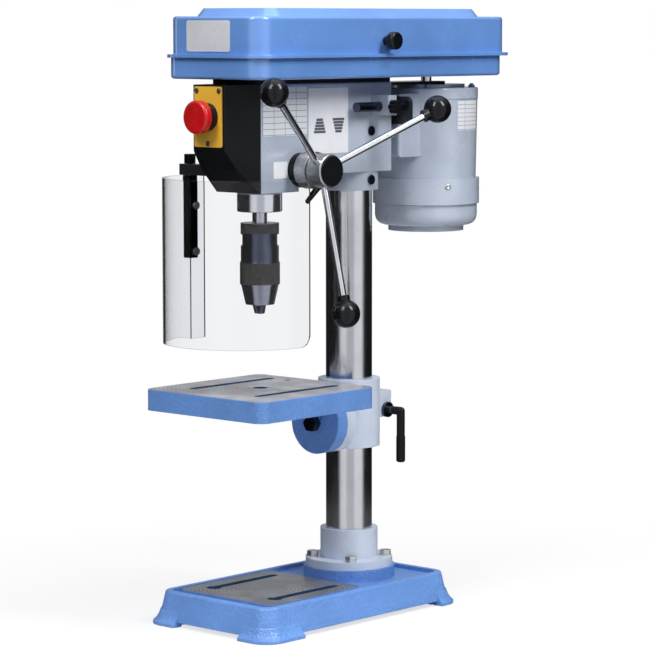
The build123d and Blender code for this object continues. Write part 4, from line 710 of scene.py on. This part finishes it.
# Blank rating plate and nuts of the motor; the step along Y is wider than the plate, so that
# it has one upright line at most
MOTOR_LINES_FROM = (0, 615 * MM)
MOTOR_LINES_STEP = (90 * MM, 5.4 * MM)
NUT_COUNT = 4
NUT_FIRST_TURN = 42
NUT_CIRCLE = 60
NUT_Z = 669.6
NUT_PROFILE = [(out * MM, up * MM) for out, up in ((4.6, 0), (4.6, 2.6), (4.2, 3.0), (2.6, 3.0),
                                                   (2.6, 4.6), (2.2, 5.0))]
NUT_FLATS = (0, 1)
motor_look = ruled("motor_ruled", MOTOR_LINES_FROM, MOTOR_LINES_STEP, line=0.6 * MM)
wrapped_plate("motor_plate", radii=(67.2, 67.93), turns=(-12, 25.5), heights=(614, 653),
              thick=0.4, body="motor", skin=motor_look)
for index in range(NUT_COUNT):
    turn = math.radians(NUT_FIRST_TURN + 360 / NUT_COUNT * index)
    spot = by_motor(NUT_CIRCLE, turn, NUT_Z)
    piece(f"motor_nut_{index + 1}", lathe(NUT_PROFILE, Matrix.Translation(spot), NUT_FLATS),
          "motor", finishes["motor_grey"])

TICK_COUNT = 60
TICK_LONG_EVERY = 5
TICK_LONG = 6.5
TICK_SHORT = 3.5
TICK_WIDTH = 0.5
TICK_DEPTH = 0.16
TICK_INSET = 1


def dial_ticks(name, node, body, slot):
    """Graduation marks round the left rim of a ring that turns about X."""
    low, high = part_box(node)
    radius = (high[2] - low[2]) / 2
    centre = middle(node)
    mesh = bmesh.new()
    for index in range(TICK_COUNT):
        angle = 2 * math.pi * index / TICK_COUNT
        length = (TICK_SHORT if index % TICK_LONG_EVERY else TICK_LONG) * MM
        outward = Vector((0, math.cos(angle), math.sin(angle)))
        on_axis = Vector((low[0] + TICK_INSET * MM + length / 2, centre.y, centre.z))
        where = frame_along(on_axis + outward * radius, outward, RIGHT)
        size = Matrix.Diagonal((TICK_WIDTH * MM, length, TICK_DEPTH * MM, 1.0))
        bmesh.ops.create_cube(mesh, size=1.0, matrix=where @ size)
    piece(name, mesh, body, finishes[slot], smooth=False)


dial_ticks("depth_ticks", "depth_ring", "depth_ring", "black_plastic")


# Stage: floor, lights, world and camera

ANY_BOUNCE = 0.5


def sorted_rays(tree):
    """Masks of the rays that come straight or through the clear guard, and of mirrored ones."""
    path = join(tree, "ShaderNodeLightPath").outputs
    through = path["Is Transmission Ray"]
    bounces = calculate(tree, "ADD", path["Glossy Depth"], path["Diffuse Depth"])
    unbent = calculate(tree, "LESS_THAN", bounces, ANY_BOUNCE)
    clear = calculate(tree, "MULTIPLY", through, unbent)
    straight = calculate(tree, "MAXIMUM", path["Is Camera Ray"], clear)
    bounced = calculate(tree, "GREATER_THAN", path["Glossy Depth"], ANY_BOUNCE)
    reached = calculate(tree, "MAXIMUM", path["Is Glossy Ray"], through)
    return straight, calculate(tree, "MULTIPLY", reached, bounced)


# The floor is white paper for straight rays, less so near the press where its shadow shows,
# and nearly clear for mirrored rays
FLOOR_RADIUS = 0.8
FLOOR_SEGMENTS = 96
FLOOR_TINTS = (rgb(0.88, 0.88, 0.89), rgb(0.92, 0.92, 0.93))
FLOOR_NEAR = 0.2
FLOOR_FAR = 0.7
FLOOR_NEAR_WHITE = 0.7
FLOOR_CLEAR = 0.9

floor_mesh = bmesh.new()
bmesh.ops.create_circle(floor_mesh, cap_ends=True, segments=FLOOR_SEGMENTS, radius=FLOOR_RADIUS)
floor_data = bpy.data.meshes.new("floor")
floor_mesh.to_mesh(floor_data)
floor_mesh.free()
floor = bpy.data.objects.new("floor", floor_data)
bpy.context.collection.objects.link(floor)

floor_look = Graph("floor")
floor_look.set(Base_Color=floor_look.mix(floor_look.noise(3.0), *FLOOR_TINTS), Roughness=0.9,
               Specular_IOR_Level=0.1)
floor_straight, floor_mirrored = sorted_rays(floor_look.tree)
far = floor_look.add("ShaderNodeVectorMath", {0: floor_look.coords},
                     operation="LENGTH").outputs["Value"]
paper_white = floor_look.math(
    "MULTIPLY", floor_straight, floor_look.span(far, FLOOR_NEAR, FLOOR_FAR, FLOOR_NEAR_WHITE, 1.0))
seen_through = floor_look.math("MULTIPLY", floor_mirrored, FLOOR_CLEAR)
glow = floor_look.add("ShaderNodeEmission", {"Color": WHITE, "Strength": 1.0}).outputs[0]
paper = floor_look.add("ShaderNodeMixShader",
                       {0: paper_white, 1: floor_look.shader.outputs[0], 2: glow}).outputs[0]
nothing = floor_look.add("ShaderNodeBsdfTransparent").outputs[0]
surface = floor_look.add("ShaderNodeMixShader", {0: seen_through, 1: paper, 2: nothing}).outputs[0]
output = floor_look.tree.nodes["Material Output"]
floor_look.tree.links.new(surface, output.inputs["Surface"])
floor_data.materials.append(floor_look.material)

AIM = Vector((0.0, 0.0, 0.42))


def softbox(name, spot, width, height, power):
    """Rectangular area light that looks at the middle of the press."""
    light = bpy.data.lights.new(name, "AREA")
    light.shape = "RECTANGLE"
    light.size = width
    light.size_y = height
    light.energy = power
    thing = bpy.data.objects.new(name, light)
    thing.location = spot
    thing.rotation_euler = (Vector(spot) - AIM).to_track_quat("Z", "Y").to_euler()
    bpy.context.collection.objects.link(thing)
    return thing


softbox("side", (2.0, 0.3, 2.6), width=0.7, height=1.6, power=68)
softbox("front", (0.3, -2.0, 2.6), width=0.7, height=1.6, power=49)
softbox("left", (-2.2, -0.9, 1.3), width=0.5, height=1.6, power=4)
softbox("top", (0.2, 0.1, 3.0), width=2.2, height=2.2, power=20)
fill = softbox("fill", (1.6, -1.8, 1.75), width=0.8, height=0.8, power=11)
fill.visible_glossy = False

# What metal mirrors: bright and dark walls round the horizon, and a pale ceiling
WALL_ENDS = rgb(0.012, 0.012, 0.013)
WALL_STOPS = ((0.215, 0.012), (0.26, 0.9), (0.315, 1.0), (0.345, 0.66), (0.425, 0.66),
              (0.45, 1.0), (0.545, 1.0), (0.595, 0.012), (0.81, 0.012), (0.85, 0.4),
              (0.885, 0.4), (0.92, 0.02))
WALL_COOLNESS = 1.03
CEILING = rgb(0.62, 0.64, 0.68)
CEILING_FROM = 0.35
CEILING_FULL = 0.75
AMBIENT = rgb(0.13, 0.133, 0.143)

world = bpy.data.worlds.new("studio")
bpy.context.scene.world = world
world.use_nodes = True
sky = world.node_tree
sky.nodes.clear()
straight, mirrored = sorted_rays(sky)
direction = join(sky, "ShaderNodeTexCoord").outputs["Generated"]
around = join(sky, "ShaderNodeTexGradient", {"Vector": direction},
              gradient_type="RADIAL").outputs["Fac"]
walls = join(sky, "ShaderNodeValToRGB", {"Fac": around})
stops = walls.color_ramp.elements
for stop, position in zip(stops, (0.0, 1.0)):
    stop.position, stop.color = position, WALL_ENDS
for position, level in WALL_STOPS:
    stops.new(position).color = rgb(level, level, level * WALL_COOLNESS)
height = join(sky, "ShaderNodeSeparateXYZ", {0: direction}).outputs["Z"]
overhead = join(sky, "ShaderNodeMapRange",
                {0: height, 1: CEILING_FROM, 2: CEILING_FULL, 3: 0.0, 4: 1.0}).outputs[0]
mirror = mix_colours(sky, overhead, walls.outputs["Color"], CEILING)
room = mix_colours(sky, mirrored, AMBIENT, mirror)
backdrop = mix_colours(sky, straight, room, WHITE)
shell = join(sky, "ShaderNodeBackground", {"Color": backdrop, "Strength": 1.0})
join(sky, "ShaderNodeOutputWorld", {"Surface": shell.outputs[0]})

# Camera, from a perspective fit of the photograph; the fit is for a 650-pixel frame
IMAGE = 650
FOCAL_PIXELS = 2879.24
AXIS_SHIFT_PIXELS = 24
AZIMUTH = math.radians(41.87)
PITCH = math.radians(6.0)
CAMERA_PLACE = (2474.3, -2760.5, 754.6)
eye = bpy.data.cameras.new("camera")
eye.sensor_width = 36.0
eye.lens = eye.sensor_width * FOCAL_PIXELS / IMAGE
eye.shift_x = -AXIS_SHIFT_PIXELS / IMAGE
eye.clip_end = 100.0
camera = bpy.data.objects.new("camera", eye)
back = Vector((math.sin(AZIMUTH) * math.cos(PITCH), -math.cos(AZIMUTH) * math.cos(PITCH),
               math.sin(PITCH)))
camera.location = place(*CAMERA_PLACE)
camera.rotation_euler = back.to_track_quat("Z", "Y").to_euler()
bpy.context.collection.objects.link(camera)
bpy.context.scene.camera = camera
bpy.context.scene.view_settings.view_transform = "Standard"
